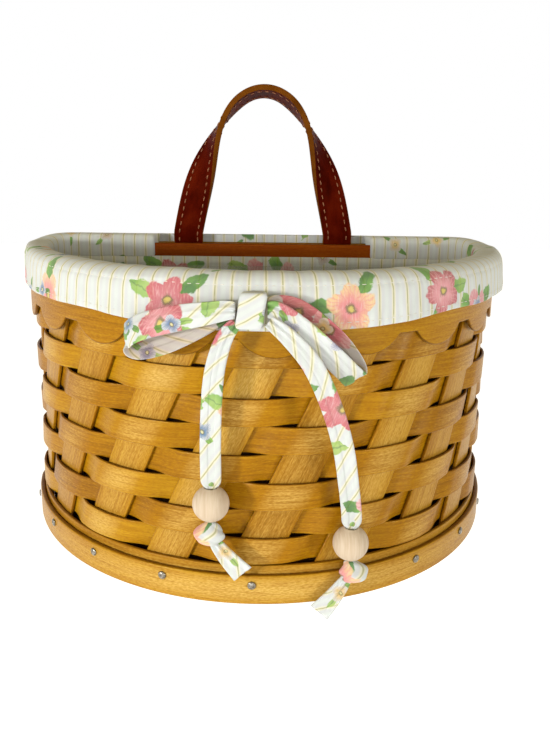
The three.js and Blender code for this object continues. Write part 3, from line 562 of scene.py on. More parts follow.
def stitched_leather():
    """Red-brown leather: slow mottling, fine pebble relief, a waxy shine, and tan raw edges read
    from the piece's own edge mark."""
    finish, shader, lay = new_finish("strap_leather", "UV")
    mottle = lay.noise(1.0, (60, 110, 1), 5, 0.6, 0.4)
    sizes = {"Vector": lay, "Scale": 2100.0}
    pebble = put(lay.tree, "TexVoronoi", sizes, "Distance", voronoi_dimensions="2D")
    leather = mottle.ramp((0.3, paint(58, 6, 1)), (0.52, paint(84, 15, 3)), (0.75, paint(104, 28, 7)))
    raw = mottle.ramp((0.3, paint(92, 48, 8)), (0.7, paint(132, 76, 20)))
    feed(shader, {
        "Base Color": lay.mark("edge").step(0.92, 0.985).mix(leather, raw),
        "Roughness": mottle.step(0.3, 0.8, 0.36, 0.5),
        "Specular IOR Level": 0.01,
        "Specular Tint": (0.9, 0.3, 0.12, 1.0),
    })
    relief(shader, pebble + mottle, 0.12, 0.0002)
    return finish


strap_u = np.append(np.linspace(0, TAB_RUN + 6, 60), np.linspace(TAB_RUN + 7, STRAP_LENGTH / 2, 100))
strap_u = np.append(strap_u, STRAP_LENGTH - strap_u[::-1][1:])
strap_middle, strap_across, strap_deep, strap_thick, _ = strap_frame(strap_u)
strap_a, strap_b = strip_section(STRAP_WIDTH, 1.0, 0.28, 13)
strap_points = strap_middle[:, None] + strap_a[None, :, None] * strap_across[:, None]
strap_points = strap_points + strap_b[None, :, None] * (strap_thick * strap_deep)[:, None]
strap_uv = strip_uv(strap_u[:, None], strap_a)
marks = {"edge": np.abs(strap_a)[None] / STRAP_WIDTH * 2}
strap = add_skin("hanging_strap", strap_points * MM, strap_uv, around=True, capped=True, **marks)
STRAP_NODES = ("strap_arch", "strap_tab_left", "strap_tab_right")
fit(strap, stitched_leather(), "leather", *STRAP_NODES, follows=STRAP_FLEX)

# Strap stitching: two rows of waxed tan thread near the strap's edges, showing on both faces.
# Each stitch dips into the leather at its ends.
STITCH_LENGTH, STITCH_PITCH, STITCH_RADIUS = 2.7, 4.0, 0.36
STITCH_INSET, STITCH_LIFT, STITCH_MARGIN = 3.0, 0.1, 3.6


def spun_cotton(name, dark, light):
    """Twisted thread or plain cloth: two tones of fine noise on a dull surface."""
    finish, shader, twist = two_tone(name, 1500.0, 0.15, dark, light, detail=3, roughness=0.5)
    feed(shader, {"Roughness": 0.65})
    relief(shader, twist, 0.3, 0.0001)
    return finish


def stitch_rows(middle, ahead, out, radius, length):
    """Capsules laid along a line: each runs ahead by its length and lifts out of the surface in an
    arc. Returns rings of six points, six rings to a stitch."""
    share = np.linspace(-1, 1, 6)
    girth = radius * np.sqrt(np.clip(1 - np.abs(share) ** 3, 0.05, 1))
    turn = full_turn(6)[:, None]
    side = np.cross(ahead, out)
    line = middle[:, None] + share[None, :, None] * ahead[:, None] * length / 2
    line = line - (0.9 * radius * share[None, :, None] ** 4) * out[:, None]
    swell = np.cos(turn) * side[:, None, None] + np.sin(turn) * out[:, None, None]
    return (line[:, :, None] + girth[None, :, None, None] * swell).reshape(-1, 6, 3)


def add_stitches(name, rows):
    """One mesh of many capsules, each closed by its nearly pointed ends."""
    rings = np.concatenate(rows)
    keep = np.ones((len(rings) - 1, 6), bool)
    keep[5::6] = False
    return add_skin(name, rings * MM, around=True, keep=keep)


stitch_at = np.arange(TAB_RUN - STITCH_MARGIN, STRAP_LENGTH - TAB_RUN + STITCH_MARGIN, STITCH_PITCH)
stitch_middle, stitch_across, stitch_deep, stitch_thick, stitch_ahead = strap_frame(stitch_at)
stitch_rings = []
for edge_side in (-1, 1):
    for face in (-1, 1):
        seat = stitch_middle + edge_side * (STRAP_WIDTH / 2 - STITCH_INSET) * stitch_across
        seat = seat + face * (stitch_thick / 2 + STITCH_LIFT) * stitch_deep
        stitch_rings.append(stitch_rows(seat, stitch_ahead, face * stitch_deep, STITCH_RADIUS, STITCH_LENGTH))
strap_stitching = add_stitches("strap_stitching", stitch_rings)
tan_thread = spun_cotton("tan_thread", paint(124, 68, 34), paint(174, 112, 72))
fit(strap_stitching, tan_thread, "leather", follows=STRAP_FLEX)

# Liner: striped cotton with scattered blossoms. A floor panel and a wall panel line the basket, and
# the wall panel's top edge is turned in below the rim.
LINER_N = -6.25
LINER_FLOOR_Z, LINER_TOP_Z, LINER_SEAM = 9.85, 137.0, 0.8
CLOTH_THICKNESS, STRIPE_PITCH = 0.7, 6.5
LINER_WAVE, WAVE_FOOT, WAVE_TALL = 0.16, 10, 130


def printed_cotton(name, turn, shift, repeat):
    """Ivory cotton on the piece's own UV: thin olive stripes with pale yellow flanks and a faint
    lilac band between them, then blossoms with three leaves in random cells, and buds in smaller
    cells. A blossom's edge is a lobed cosine of the angle round its cell's point. Where the
    reverse mark says, the colour is darkened and warmed: painted shade in the hollow of a loop."""
    finish, shader, lay = new_finish(name, "UV")
    tree = lay.tree
    sizes = {"Scale": (1 / MM,) * 3, "Rotation": (0, 0, turn), "Location": (shift, 2 * shift, 0)}
    cloth = put(tree, "Mapping", {"Vector": lay, **sizes})
    u = put(tree, "SeparateXYZ", {"Vector": cloth})
    fibre = cloth.noise(1.0, (1.4, 0.22, 1))
    slub = cloth.noise(0.05, detail=3, roughness=0.5)
    base = slub.ramp((0.3, paint(220, 227, 224)), (0.7, paint(233, 240, 239)))
    off = ((u / STRIPE_PITCH).math("FRACT") - 0.5).math("ABSOLUTE") * STRIPE_PITCH
    base = off.step(2.9, 1.7, 0, 0.3).mix(base, paint(214, 208, 222))
    base = off.step(1.15, 0.55, 0, 0.6).mix(base, paint(250, 244, 205))
    thread = off.step(0.42, 0.16) * fibre.step(0.3, 0.55, 0.25, 0.7)
    base = thread.mix(base, paint(166, 164, 92))

    def wander(amount, scale):
        """The cloth's plane pushed about by noise, so that drawn edges waver."""
        push = put(tree, "TexNoise", {"Vector": cloth, "Scale": scale, "Detail": 2.0}, "Color")
        return cloth.move("ADD", push.move("SUBTRACT", (0.5, 0.5, 0.5)).scaled(amount))

    def cells(cell, plane):
        """Distance and angle round the point of each cell, with two random numbers of the cell."""
        grid = plane.scaled(1 / cell)
        settings = {"Vector": grid, "Scale": 1.0, "Randomness": 0.75}
        spots = put(tree, "TexVoronoi", settings, "Position", voronoi_dimensions="2D")
        x = put(tree, "SeparateXYZ", {"Vector": grid.move("SUBTRACT", spots).scaled(cell)})
        y = x.output("Y")
        chance = put(tree, "SeparateColor", {"Color": spots.output("Color")})
        angle = y.math("ARCTAN2", x) + chance.output("Green") * 6.28
        return (x * x + y * y).math("SQRT"), angle, chance, chance.output("Blue")

    def leaves(base, far, angle, count, reach, long, wide, shown):
        """Leaves round a blossom: ellipses on equal rays, veined and two-toned."""
        sector = 2 * np.pi / count
        ray = angle.math("FLOORED_MODULO", sector) - sector / 2
        along = (far * ray.math("COSINE") - reach) / long
        beside = far * ray.math("SINE")
        inside = along.math("ABSOLUTE").math("POWER", 2.0)
        inside = inside + (beside / wide).math("ABSOLUTE").math("POWER", 1.4)
        green = slub.ramp((0.38, paint(74, 132, 48)), (0.5, paint(120, 176, 62)),
                          (0.64, paint(178, 208, 110)))
        green = beside.math("ABSOLUTE").step(0.5, 0.1, 0, 0.5).mix(green, paint(70, 112, 60))
        return (inside.step(1.1, 0.8, 0, 0.9) * shown).mix(base, green)

    def blossoms(base, far, angle, petals, radius, tint, outer, heart, shown):
        """Streaked petals with a paler rim, round a small dotted heart."""
        lobe = (angle * (petals / 2)).math("COSINE").math("ABSOLUTE")
        share = far / ((lobe * 0.36 + 0.64) * radius)
        flower = share.step(0.3, 0.95, 0, 0.85).mix(tint, outer)
        streak = (angle * 31.0 + slub * 9.0).math("SINE")
        flower = streak.step(0.0, 1.0, 0, 0.5).mix(flower, tint)
        flower = fibre.step(0.45, 0.7, 0, 0.35).mix(flower, paint(252, 232, 226))
        flower = lobe.step(0.5, 0.05, 0, 0.6).mix(flower, tint)
        core = far / radius + streak * 0.03
        flower = core.step(0.27, 0.17, 0, 0.85).mix(flower, paint(110, 108, 62))
        flower = core.step(0.15, 0.1).mix(flower, heart)
        return (share.step(1.04, 0.94, 0, 0.95) * shown).mix(base, flower)

    far, angle, chance, hue = cells(repeat, wander(3.6, 0.3))
    shown = chance.step(0.24, 0.26)
    base = leaves(base, far, angle, count=3, reach=12.5, long=6.8, wide=3.3, shown=shown)
    rose = hue.ramp((0.2, paint(222, 108, 128)), (0.4, paint(246, 176, 182)),
                    (0.62, paint(178, 30, 56)), (0.8, paint(240, 148, 152)))
    tip = hue.ramp((0.2, paint(250, 206, 208)), (0.4, paint(176, 26, 54)),
                   (0.62, paint(238, 134, 144)), (0.8, paint(252, 226, 164)))
    base = blossoms(base, far, angle, 5, 10.5, rose, tip, paint(226, 206, 110), shown)
    far, angle, chance, hue = cells(0.65 * repeat, wander(2.0, 0.2))
    shown = chance.step(0.62, 0.64)
    base = leaves(base, far, angle, count=2, reach=5.4, long=3.6, wide=1.3, shown=shown)
    bud = hue.ramp((0.3, paint(104, 138, 176)), (0.6, paint(150, 138, 170)), (0.85, paint(240, 208, 120)))
    base = blossoms(base, far, angle, 4, 4.2, bud, paint(222, 226, 232), paint(232, 226, 170), shown)
    # Painted shade: darker and warmer where the reverse mark says, inside the bow's loops.
    base = lay.mark("reverse").mix(base, (0.78, 0.67, 0.61, 1.0), "MULTIPLY")
    feed(shader, {"Base Color": base, "Roughness": 0.88, "Sheen Weight": 0.15, "Sheen Roughness": 0.5})
    weave = (u * 12.0).math("SINE") * (u.output("Y") * 12.0).math("SINE") + fibre * 2.0
    relief(shader, weave + cloth.noise(0.3, (1, 0.6, 1), 3, 0.55) * 9.0, 0.2, 0.0002)
    return finish


def lay_cloth(name, node, points, uv, finish, keep=None):
    """A panel of the liner: a grid of points thickened half to each side. Its area is worked out as the
    sum over its cells of half the cross product of their diagonals, and not used."""
    piece = add_skin(name, points, uv, keep=keep)
    solid = piece.modifiers.new("thickness", "SOLIDIFY")
    solid.thickness = CLOTH_THICKNESS * MM
    solid.offset = 0.0
    twice = np.cross(points[1:, 1:] - points[:-1, :-1], points[1:, :-1] - points[:-1, 1:])
    area = float((np.linalg.norm(twice, axis=-1) / 2 * (1 if keep is None else keep)).sum())
    fit(piece, finish, "cloth", node)
    return piece


liner_cotton = printed_cotton("liner_cotton", turn=0.0, shift=57.0, repeat=38.0)
waver = np.random.default_rng(7)


def ripple(s, count, pieces):
    """Slow waves along the wall: a sum of sines of whole numbers of turns, seeded."""
    turns = waver.integers(3, count, pieces)
    shift = waver.uniform(0, 2 * np.pi, pieces)
    angle = np.pi * s[..., None] / HALF_ROUND
    return np.sin(angle * turns + shift).sum(-1) / np.sqrt(pieces)


floor_rim = wall(all_round(240), LINER_N, LINER_FLOOR_Z)[None]
floor_middle = PLAN_MIDDLE + [0, 0, (LINER_FLOOR_Z + UNDERSIDE) * MM]
floor_points = floor_middle + np.linspace(0.02, 1, 12)[:, None, None] * (floor_rim - floor_middle)
lay_cloth("liner_floor_panel", "liner_floor", floor_points, floor_points[..., :2], liner_cotton)

lining_s = all_round(360)[:, None]
lining_z = np.linspace(LINER_FLOOR_Z + LINER_SEAM, LINER_TOP_Z, 30)[None]
lining_wave = LINER_WAVE * ripple(lining_s, 40, 6)
lining_wave = lining_wave * np.sin(np.pi * (lining_z - WAVE_FOOT) / WAVE_TALL) ** 2
lining_points = wall(lining_s, LINER_N + lining_wave, lining_z)
# The wall panel's outer side, behind the weave, is dark brown: painted shade, so the gaps in the weave show
# dark.
painted_shade_back = spun_cotton("painted_shade_back", paint(84, 52, 22), paint(112, 74, 36))
lining = lay_cloth("liner_wall_panel", "liner_wall", lining_points, lay_uv(lining_s, lining_z), painted_shade_back)
lining.modifiers["thickness"].material_offset = 1
lining.data.materials.append(liner_cotton)

# Cuff: the liner's top, folded over the rim and hanging outside down to a stitched hem. A window at
# the back lets the strap through, with a flap of cloth behind it, and the cuff's back lies flat.
SLOT_HALF = 58.0
HEM_SIDE_RISE, BACK_LIFT = 4.2, 2.4
LEFT_PADDING, RIGHT_PADDING = 0.15, 0.55
HEM_SEAM, CASING_SEAM, WINDOW_TOP = 0.66, 0.46, 0.285
PUCKER_PITCH, PUCKER_DEPTH, CASING_PINCH = 4.4, 0.2, 0.35
HANG_WAVE, CROWN_WAVE, FULLNESS, CUFF_DROP = 0.34, 0.28, 1.06, 20
CUFF_ROWS, CUFF_COLUMNS = 661, 76
CUFF_SECTION = np.array([
    [-6.25, 136.6], [-6.25, 139.8], [-6.0, 143.2], [-4.4, 145.2], [0.3, 145.8], [5.0, 145.3],
    [8.4, 142.8], [9.9, 138.8], [10.6, 133.5], [11.1, 128.0], [11.35, 124.8], [11.0, 124.1],
    [10.5, 124.7], [10.1, 128.0], [9.6, 131.0],
])
HEM_N = [5.45, 5.45, 5.45, 5.45, 5.35, 5.2, 5.1, 5.1]
BACK_N = np.array([-6.25, -6.25, -6.0, -4.2, -0.2, 4.2, 5.4] + HEM_N)
SLOT_N = np.array([5.2, 5.2, 5.2, 5.2, 5.2, 5.25, 5.45] + HEM_N)
FLAP_Z = np.array([148.0] * 5 + [147.6, 144.5] + [0] * 8)


def curve_weights(count, steps):
    """Weights of a smooth curve through a row of points: Catmull-Rom sums on an even parameter."""
    at = np.linspace(0, count - 1, steps)
    cell = np.minimum(at.astype(int), count - 2)
    t = (at - cell)[:, None]
    basis = np.concatenate([
        -0.5 * t + t**2 - 0.5 * t**3, 1 - 2.5 * t**2 + 1.5 * t**3,
        0.5 * t + 2 * t**2 - 1.5 * t**3, -0.5 * t**2 + 0.5 * t**3,
    ], 1)
    rows = np.zeros((steps, count))
    for k in range(4):
        np.add.at(rows, (np.arange(steps), np.clip(cell + k - 1, 0, count - 1)), basis[:, k])
    return rows


def hump(value, middle, width):
    """Bell curve of height one."""
    return np.exp(-(((value - middle) / width) ** 2))


cuff_s = all_round(CUFF_ROWS - 1)[:, None]
cuff_facing = -outward_y(cuff_s)
cuff_side = np.where(cuff_s < 0, LEFT_PADDING, RIGHT_PADDING)
cuff_side = cuff_side + (1 - cuff_side) * smooth(cuff_facing, 0.2, 0.85)
cuff_free = smooth(cuff_facing, -0.85, -0.1) * cuff_side
cuff_slot = smooth(np.abs(cuff_s), HALF_ROUND - SLOT_HALF - 3.0, HALF_ROUND - SLOT_HALF + 1.0)
section_n, section_z = CUFF_SECTION.T
cuff_n = section_n * cuff_free + BACK_N * (1 - cuff_free)
cuff_n = cuff_n * (1 - cuff_slot) + SLOT_N * cuff_slot
cuff_top = np.clip((section_z - 138) / 7, 0, 1)
cuff_z = section_z + BACK_LIFT * smooth(-cuff_facing, 0.1, 0.95) * cuff_top
cuff_z = cuff_z * (1 - cuff_slot) + np.maximum(section_z, FLAP_Z) * cuff_slot
cuff_drop = np.clip(RIM_TOP - section_z, 0, CUFF_DROP) * (np.arange(len(section_z)) > 5) / CUFF_DROP
cuff_z = cuff_z + HEM_SIDE_RISE * (1 - smooth(cuff_facing, 0.75, 1.0)) * cuff_drop
cuff_weights = curve_weights(len(CUFF_SECTION), CUFF_COLUMNS).T
cuff_n, cuff_z = cuff_n @ cuff_weights, cuff_z @ cuff_weights
cuff_t = np.linspace(0, 1, CUFF_COLUMNS)[None]
cuff_n = cuff_n + HANG_WAVE * ripple(cuff_s, 44, 9) * smooth(cuff_t, 0.4, 0.8) * cuff_free
cuff_z = cuff_z + CROWN_WAVE * ripple(cuff_s, 60, 9) * hump(cuff_t, 0.32, 0.14) * cuff_free
pucker = np.sin(2 * np.pi * cuff_s / PUCKER_PITCH + 2.2 * ripple(cuff_s, 50, 7))
seam_near = hump(cuff_t, HEM_SEAM, 0.055) + hump(cuff_t, CASING_SEAM, 0.04)
cuff_pinch = CASING_PINCH * hump(cuff_t, CASING_SEAM, 0.014)
cuff_n = cuff_n + (PUCKER_DEPTH * pucker * seam_near - cuff_pinch) * cuff_free
cuff_points = wall(cuff_s, cuff_n, cuff_z)
cuff_length = np.cumsum(np.hypot(np.diff(cuff_n), np.diff(cuff_z)), 1)
cuff_uv = lay_uv(cuff_s * FULLNESS, np.pad(cuff_length, ((0, 0), (1, 0))) + LINER_TOP_Z)
cuff_window = np.abs(cuff_s[:-1] + cuff_s[1:]) / 2 > HALF_ROUND - SLOT_HALF
cuff_keep = ~(cuff_window & (cuff_t[:, :-1] < WINDOW_TOP))
lay_cloth("liner_cuff_fold", "liner_cuff", cuff_points, cuff_uv, liner_cotton,
          keep=cuff_keep)

# Cuff stitching: white cotton thread in a row just above the hem and a row below the fold, which
# closes the casing that the tie runs through.
SEAM_PITCH, SEAM_STITCH, SEAM_RADIUS, SEAM_LIFT = 3.1, 2.0, 0.16, 0.42
seam_s = np.arange(-HALF_ROUND, HALF_ROUND, SEAM_PITCH)
seam_rings = []
for seam_place in (HEM_SEAM, CASING_SEAM):
    column = int(round(seam_place * (CUFF_COLUMNS - 1)))
    seam_n = np.interp(seam_s, cuff_s[:, 0], cuff_n[:, column]) + SEAM_LIFT
    seam_z = np.interp(seam_s, cuff_s[:, 0], cuff_z[:, column])
    seam_middle, seam_next, seam_last, seam_off = (
        wall(seam_s + ahead, seam_n + out, seam_z) / MM
        for ahead, out in ((0, 0), (0.5, 0), (-0.5, 0), (0, 1))
    )
    seam_ahead = unit(seam_next - seam_last)
    seam_rings.append(stitch_rows(seam_middle, seam_ahead, seam_off - seam_middle, SEAM_RADIUS, SEAM_STITCH))
white_thread = spun_cotton("white_thread", paint(226, 222, 212), paint(248, 246, 240))
fit(add_stitches("cuff_stitching", seam_rings), white_thread, "cloth")

# Insert: a clear formed plastic tub that stands inside the liner and keeps it clean.
# Its top edge is rolled out a little.
INSERT_OUT, INSERT_IN = -7.1, -8.1
INSERT_FLOOR, INSERT_TOP, INSERT_WALL = 10.7, 132.0, 1.0
HAZE_DARK, HAZE_LIGHT = paint(226, 234, 234), paint(250, 252, 252)
plastic, shader, haze = two_tone("clear_plastic", 30.0, 0.2, HAZE_DARK, HAZE_LIGHT, detail=3, roughness=0.5)
feed(shader, {"Roughness": haze.step(0.3, 0.7, 0.05, 0.12), "Alpha": 0.16, "IOR": 1.5})

insert_edge = [INSERT_OUT + 0.1, (INSERT_OUT + INSERT_IN) / 2]
insert_n = np.array([INSERT_OUT] * 5 + insert_edge + [INSERT_IN] * 5)[:, None]
outer_z = INSERT_FLOOR + np.array([0, 1.3, 39.3, 89.3, 119.3])
inner_z = INSERT_FLOOR + np.array([89.3, 39.3, 1.3 + INSERT_WALL, INSERT_WALL])
insert_z = np.concatenate([outer_z, INSERT_TOP + np.array([-0.4, 0, -0.6]), inner_z])[:, None]
insert_skin = wall(all_round(300)[None, :-1], insert_n, insert_z)
insert_flat = insert_skin[[0, -1]] * [0.02, 0.02, 1] + PLAN_MIDDLE * 0.98
insert_points = np.concatenate([insert_flat[:1], insert_skin, insert_flat[1:]])
insert = add_skin("clear_tub", insert_points, around=True, capped=True)
fit(insert, plastic, "clear_plastic", "clear_insert")

# Bow: a tie of the same cotton, folded lengthwise, knotted over the front of the cuff. Its knot is a
# wrapped strap of cloth, and two loops stand out from it.
KNOT_ACROSS, KNOT_Z, BOW_SEAT = -6.5, 133.0, 11.8
KNOT_WIDTH, KNOT_HEIGHT, KNOT_DEPTH = 10.0, 14.0, 8.0
KNOT_SIDE, KNOT_LEAD = 5.35, 8.6
KNOT_ROUND, KNOT_TILT, KNOT_FILL = 9, 0.8, 0.8
WRAP_LENGTH, WRAP_START = 34, 62
LOOP_WIDTH, STRIP_WIDTH = 11.5, 10.0
TIE_THICKNESS, FOLD_STEP = 1.1, 0.2
PLEAT_DEPTH, PLEAT_FADE, LOOP_STEPS = 0.9, 9.0, 120
bow_cotton = printed_cotton("bow_cotton", turn=-0.96, shift=17.0, repeat=30.0)


def tie_point(places):
    """Places on the tie, across and up from the knot's middle and out from the cuff, in metres."""
    across, up, out = np.moveaxis(np.asarray(places, float), -1, 0)
    return wall(KNOT_ACROSS + across, BOW_SEAT + out, KNOT_Z + up)


def tie_line(places, steps):
    """Even steps along a smooth line through places on the tie, in millimetres."""
    dense = curve_weights(len(places), 600) @ (tie_point(places) / MM)
    run = running(dense)
    at = np.linspace(0, run[-1], steps)
    return along_line(at, run, dense), at


def tie_direction(across, up):
    """A direction on the cuff's face at the knot."""
    ahead = wall(KNOT_ACROSS + 0.5, 0, 0) - wall(KNOT_ACROSS - 0.5, 0, 0)
    return np.array([ahead[0] * across, ahead[1] * across, up * MM]) / MM


def folded_tie(name, node, line, run, across, width, fullness, folds, body, shift, inner=0,
               lap_step=FOLD_STEP, follows=None):
    """A folded strip: a flat rounded section along a line, as wide as given at each step, with a
    lap along it and pleats where the folds mark says. Its direction across is squared to the line.
    inner says which face looks into the hollow of a loop and gets painted shade."""
    tangent = unit(np.gradient(line, axis=0))
    side = unit(across - np.sum(across * tangent, 1, keepdims=True) * tangent)
    deep = np.cross(tangent, side)
    a, b = strip_section(1.0, 1.0, 0.3, 27)
    b = np.sign(b) * np.minimum(np.abs(b) * 2, np.sqrt(np.clip(1 - (2 * a) ** 8, 0, 1))) / 2
    pleat = np.cos(2 * np.pi * 2.5 * a)[None] * folds[:, None]
    lap = lap_step * (np.tanh((a - 0.2) / 0.03) - np.tanh((a + 0.14) / 0.03))[None]
    lift = b[None] * fullness[:, None] + pleat + lap
    spread = a[None] * width[:, None]
    points = line[:, None] + spread[..., None] * side[:, None] + lift[..., None] * deep[:, None]
    uv = lay_uv(run[:, None] + shift, np.append(a, a[0])[None] * width[:, None])
    # Painted shade: the reverse mark covers the face of a loop that looks into its hollow.
    reverse = np.clip(4 * inner * b, 0, 1)[None]
    piece = add_skin(name, points * MM, uv, around=True, capped=True, reverse=reverse)
    fit(piece, bow_cotton, "cloth", node, body=body, follows=follows)


def add_knot(name, node, body, across, up, out, wrap, down):
    """A wrapped ball of cloth: rings of points across, up and out from the bow's knot. Its UV goes
    round by wrap and down by the given places, both in millimetres."""
    points = tie_point(np.stack(np.broadcast_arrays(across, up, out), -1))
    ball = add_skin(name, points, lay_uv(wrap[None], down), around=True, capped=True)
    fit(ball, bow_cotton, "cloth", node, body=body)


turn = full_turn(40)[None]
rise = np.linspace(-1, 1, 36)[:, None]
knot_size = (1 - np.abs(rise) ** 10 * 0.22) * (0.95 + 0.05 * rise**2)
crease = 0.035 * np.cos(9 * rise + 1.2 * np.cos(turn)) * np.clip(np.cos(turn + 1.2), 0, 1)
square = (np.abs(np.cos(turn)) ** KNOT_ROUND + np.abs(np.sin(turn)) ** KNOT_ROUND) ** (-1 / KNOT_ROUND)
reach = knot_size * (0.96 * square + crease)
knot_out = KNOT_DEPTH / 2 * (1 + 0.97 * reach * np.sin(turn))
knot_across = KNOT_WIDTH / 2 * reach * np.cos(turn) + KNOT_TILT * rise
knot_up = KNOT_HEIGHT / 2 * rise
wrap = WRAP_START + np.linspace(0, WRAP_LENGTH, 41)
add_knot("bow_knot_wrap", "bow_knot", "basket", knot_across, knot_up, knot_out, wrap, knot_up)

left_loop = [
    [-KNOT_SIDE, 0, 5.6], [-KNOT_LEAD, 0, 6.2], [-14, -1.0, 7.6], [-24, -3.2, 8.8], [-34, -6.4, 8.6],
    [-42, -10.4, 6.6], [-45.8, -14.4, 4.0], [-42.5, -17.6, 2.0], [-33, -15.0, 1.5], [-22, -9.2, 1.5],
    [-13, -3.8, 1.5], [-KNOT_LEAD, -1.2, 1.8], [-KNOT_SIDE, -1, 2.2],
]
right_loop = [
    [KNOT_SIDE, 0.5, 5.2], [KNOT_LEAD, 0, 5.3], [14.5, -5, 5.8], [21, -11.6, 6.5], [27.5, -18.4, 6.6],
    [33.5, -25, 5.8], [37.5, -28.6, 3.8], [37.2, -24, 2.0], [31, -14.5, 1.4], [23, -6.2, 1.2],
    [15, 0.2, 1.4], [KNOT_LEAD, 2, 1.8], [KNOT_SIDE, 1.5, 2.2],
]
tie_out = (wall(KNOT_ACROSS, 1, 0) - wall(KNOT_ACROSS, 0, 0)) / MM
for name, node, places, lean_way, tilt, inner in (
    ("bow_left_loop", "bow_loop_left", left_loop, tie_direction(-0.28, 0.96), -0.7, 1),
    ("bow_right_loop", "bow_loop_right", right_loop, tie_direction(0.66, 0.75), 0.6, -1),
):
    line, run = tie_line(places, LOOP_STEPS)
    swell = np.sin(np.pi * run / run[-1])
    width = LOOP_WIDTH * (0.55 + 0.45 * np.maximum(swell, 0) ** 0.6)
    across = lean_way + tilt * (swell**2)[:, None] * tie_out
    folds = PLEAT_DEPTH * np.exp(-np.minimum(run, run[-1] - run) / PLEAT_FADE)
    full = np.full(LOOP_STEPS, TIE_THICKNESS)
    folded_tie(name, node, line, run, across, width, full, folds, "basket", 50 * len(node), inner)

# Tails: the tie's two ends hang from the knot, each gathered through a bead above a knotted end.
# The gathered strand rides on the same body as the knotted end.
BEAD_RADIUS, BEAD_BORE, BEAD_GAP = 7.8, 2.7, 0.35
BEAD_OUT = WEAVER_MIDDLE + WEAVER_THICKNESS / 2 + BEAD_GAP + BEAD_RADIUS - BOW_SEAT
LEFT_BEAD, RIGHT_BEAD = (-15.3, -83.6), (40.1, -103.5)
TAIL_WIDTH, NECK_WIDTH, NECK_THICKNESS = 8.8, 4.5, 2.4
TAIL_END, TAIL_GATHER = -BEAD_RADIUS - 0.175, 5
TAIL_STEPS, TAIL_FADE = 130, 13.0
STRAND_WIDTH, STRAND_THICKNESS, STRAND_TIP, STRAND_RISE = 3.8, 1.0, 1.3, 14.5
left_tail = [
    [-5.2, -5.0, 3.4], [-8.8, -10.4, 3.3], [-11.4, -18, 2.8], [-13.4, -28, 1.9], [-14.6, -42, 0.7],
    [-15.2, -58, -0.4],
]
right_tail = [
    [KNOT_SIDE + 0.55, -3.6, 7.4], [12.6, -10, 8.6], [20.4, -21, 8.6], [27.6, -38, 6.4], [33.6, -57, 3.4],
    [37.4, -76, 1],
]
for hand, places, bead_at in (("left", left_tail, LEFT_BEAD), ("right", right_tail, RIGHT_BEAD)):
    name, node, body = f"tie_{hand}_tail", f"tail_{hand}", f"{hand}_tail"
    threaded = [[bead_at[0], bead_at[1] + step, BEAD_OUT] for step in (BEAD_RADIUS + 4, 0, TAIL_END)]
    line, run = tie_line(places + threaded, TAIL_STEPS)
    above = line[:, 2] - (KNOT_Z + bead_at[1] + UNDERSIDE) - BEAD_RADIUS
    flat = np.sqrt(1 - (1 - np.clip((above + 0.5) / 4.0, 0, 1)) ** 2)
    gather = (1 - flat) * smooth(above, -1, 3)
    top_fold = np.exp(-run / TAIL_FADE)
    width = NECK_WIDTH + (TAIL_WIDTH - NECK_WIDTH) * flat * (1 - 0.85 * top_fold)
    full = NECK_THICKNESS + (TIE_THICKNESS - NECK_THICKNESS) * flat
    across = tie_direction(1, 0.35)
    bead_top = tie_point([*bead_at, BEAD_OUT]) + [0, 0, (BEAD_RADIUS + TAIL_GATHER) * MM]
    folded_tie(name, node, line, run, across, width, full, 0.4 * gather + 0.8 * top_fold, body,
               shift=300 + 210 * len(body), follows=(f"{hand}_bead", line[0] * MM, bead_top))
    inside = above + BEAD_RADIUS < STRAND_RISE
    line, run, above = line[inside], run[inside] - run[inside][0], above[inside]
    width = STRAND_WIDTH + (STRAND_TIP - STRAND_WIDTH) * smooth(above, 2.5, 4.5)
    full = STRAND_THICKNESS * (1 - 0.75 * smooth(above, 0, 3.5))
    folded_tie(name + "_gather", node, line, run, across, width, full, 0 * run, body, shift=700, lap_step=0.0)

# Beads: turned balls of bare pale wood with a bore through them, threaded on the tails. The mouths of
# the bore are slightly rounded.
BEAD_SIDES = 48


def bare_wood():
    """Unfinished turned wood: pale with fine straight grain down the ball and a dull surface."""
    finish, shader, place = new_finish("bare_wood", "Object")
    grain = place.noise(1.0, (1100, 150, 60), 4, 0.6, 0.3)
    rings = place.noise(1.0, (280, 80, 30), 2, 0.5)
    wood = grain.ramp((0.3, paint(212, 188, 160)), (0.55, paint(226, 206, 180)), (0.75, paint(234, 218, 196)))
    wood = rings.step(0.5, 0.7, 0, 0.25).mix(wood, paint(208, 182, 154))
    feed(shader, {"Base Color": wood, "Roughness": 0.68})
    relief(shader, grain, 0.15, 0.0003)
    return finish


pale_wood = bare_wood()
bead_start = np.arcsin(BEAD_BORE / BEAD_RADIUS)
bead_end = BEAD_RADIUS * np.cos(bead_start)
bead_turn = np.linspace(bead_start + 0.07, np.pi - bead_start - 0.07, 40)
mouth_r, mouth_h = BEAD_BORE + np.array([0, 0.1, 0.35]), bead_end - np.array([0.5, 0.12, 0])
bead_r = np.concatenate([mouth_r, BEAD_RADIUS * np.sin(bead_turn), mouth_r[::-1]])
bead_h = np.concatenate([-mouth_h, -BEAD_RADIUS * np.cos(bead_turn), mouth_h[::-1]])
bead_round = full_turn(BEAD_SIDES)[:, None]
bead_skin = [bead_r * np.cos(bead_round), bead_r * np.sin(bead_round), bead_h + 0 * bead_round]
bead_skin = np.stack(bead_skin, -1) * MM
for hand, bead_at in (("left", LEFT_BEAD), ("right", RIGHT_BEAD)):
    bead_points = tie_point([*bead_at, BEAD_OUT]) + bead_skin
    bead = add_skin(f"wood_bead_{hand}", bead_points, around=True, along=True)
    fit(bead, pale_wood, "bare_wood", f"bead_{hand}", body=f"{hand}_bead")

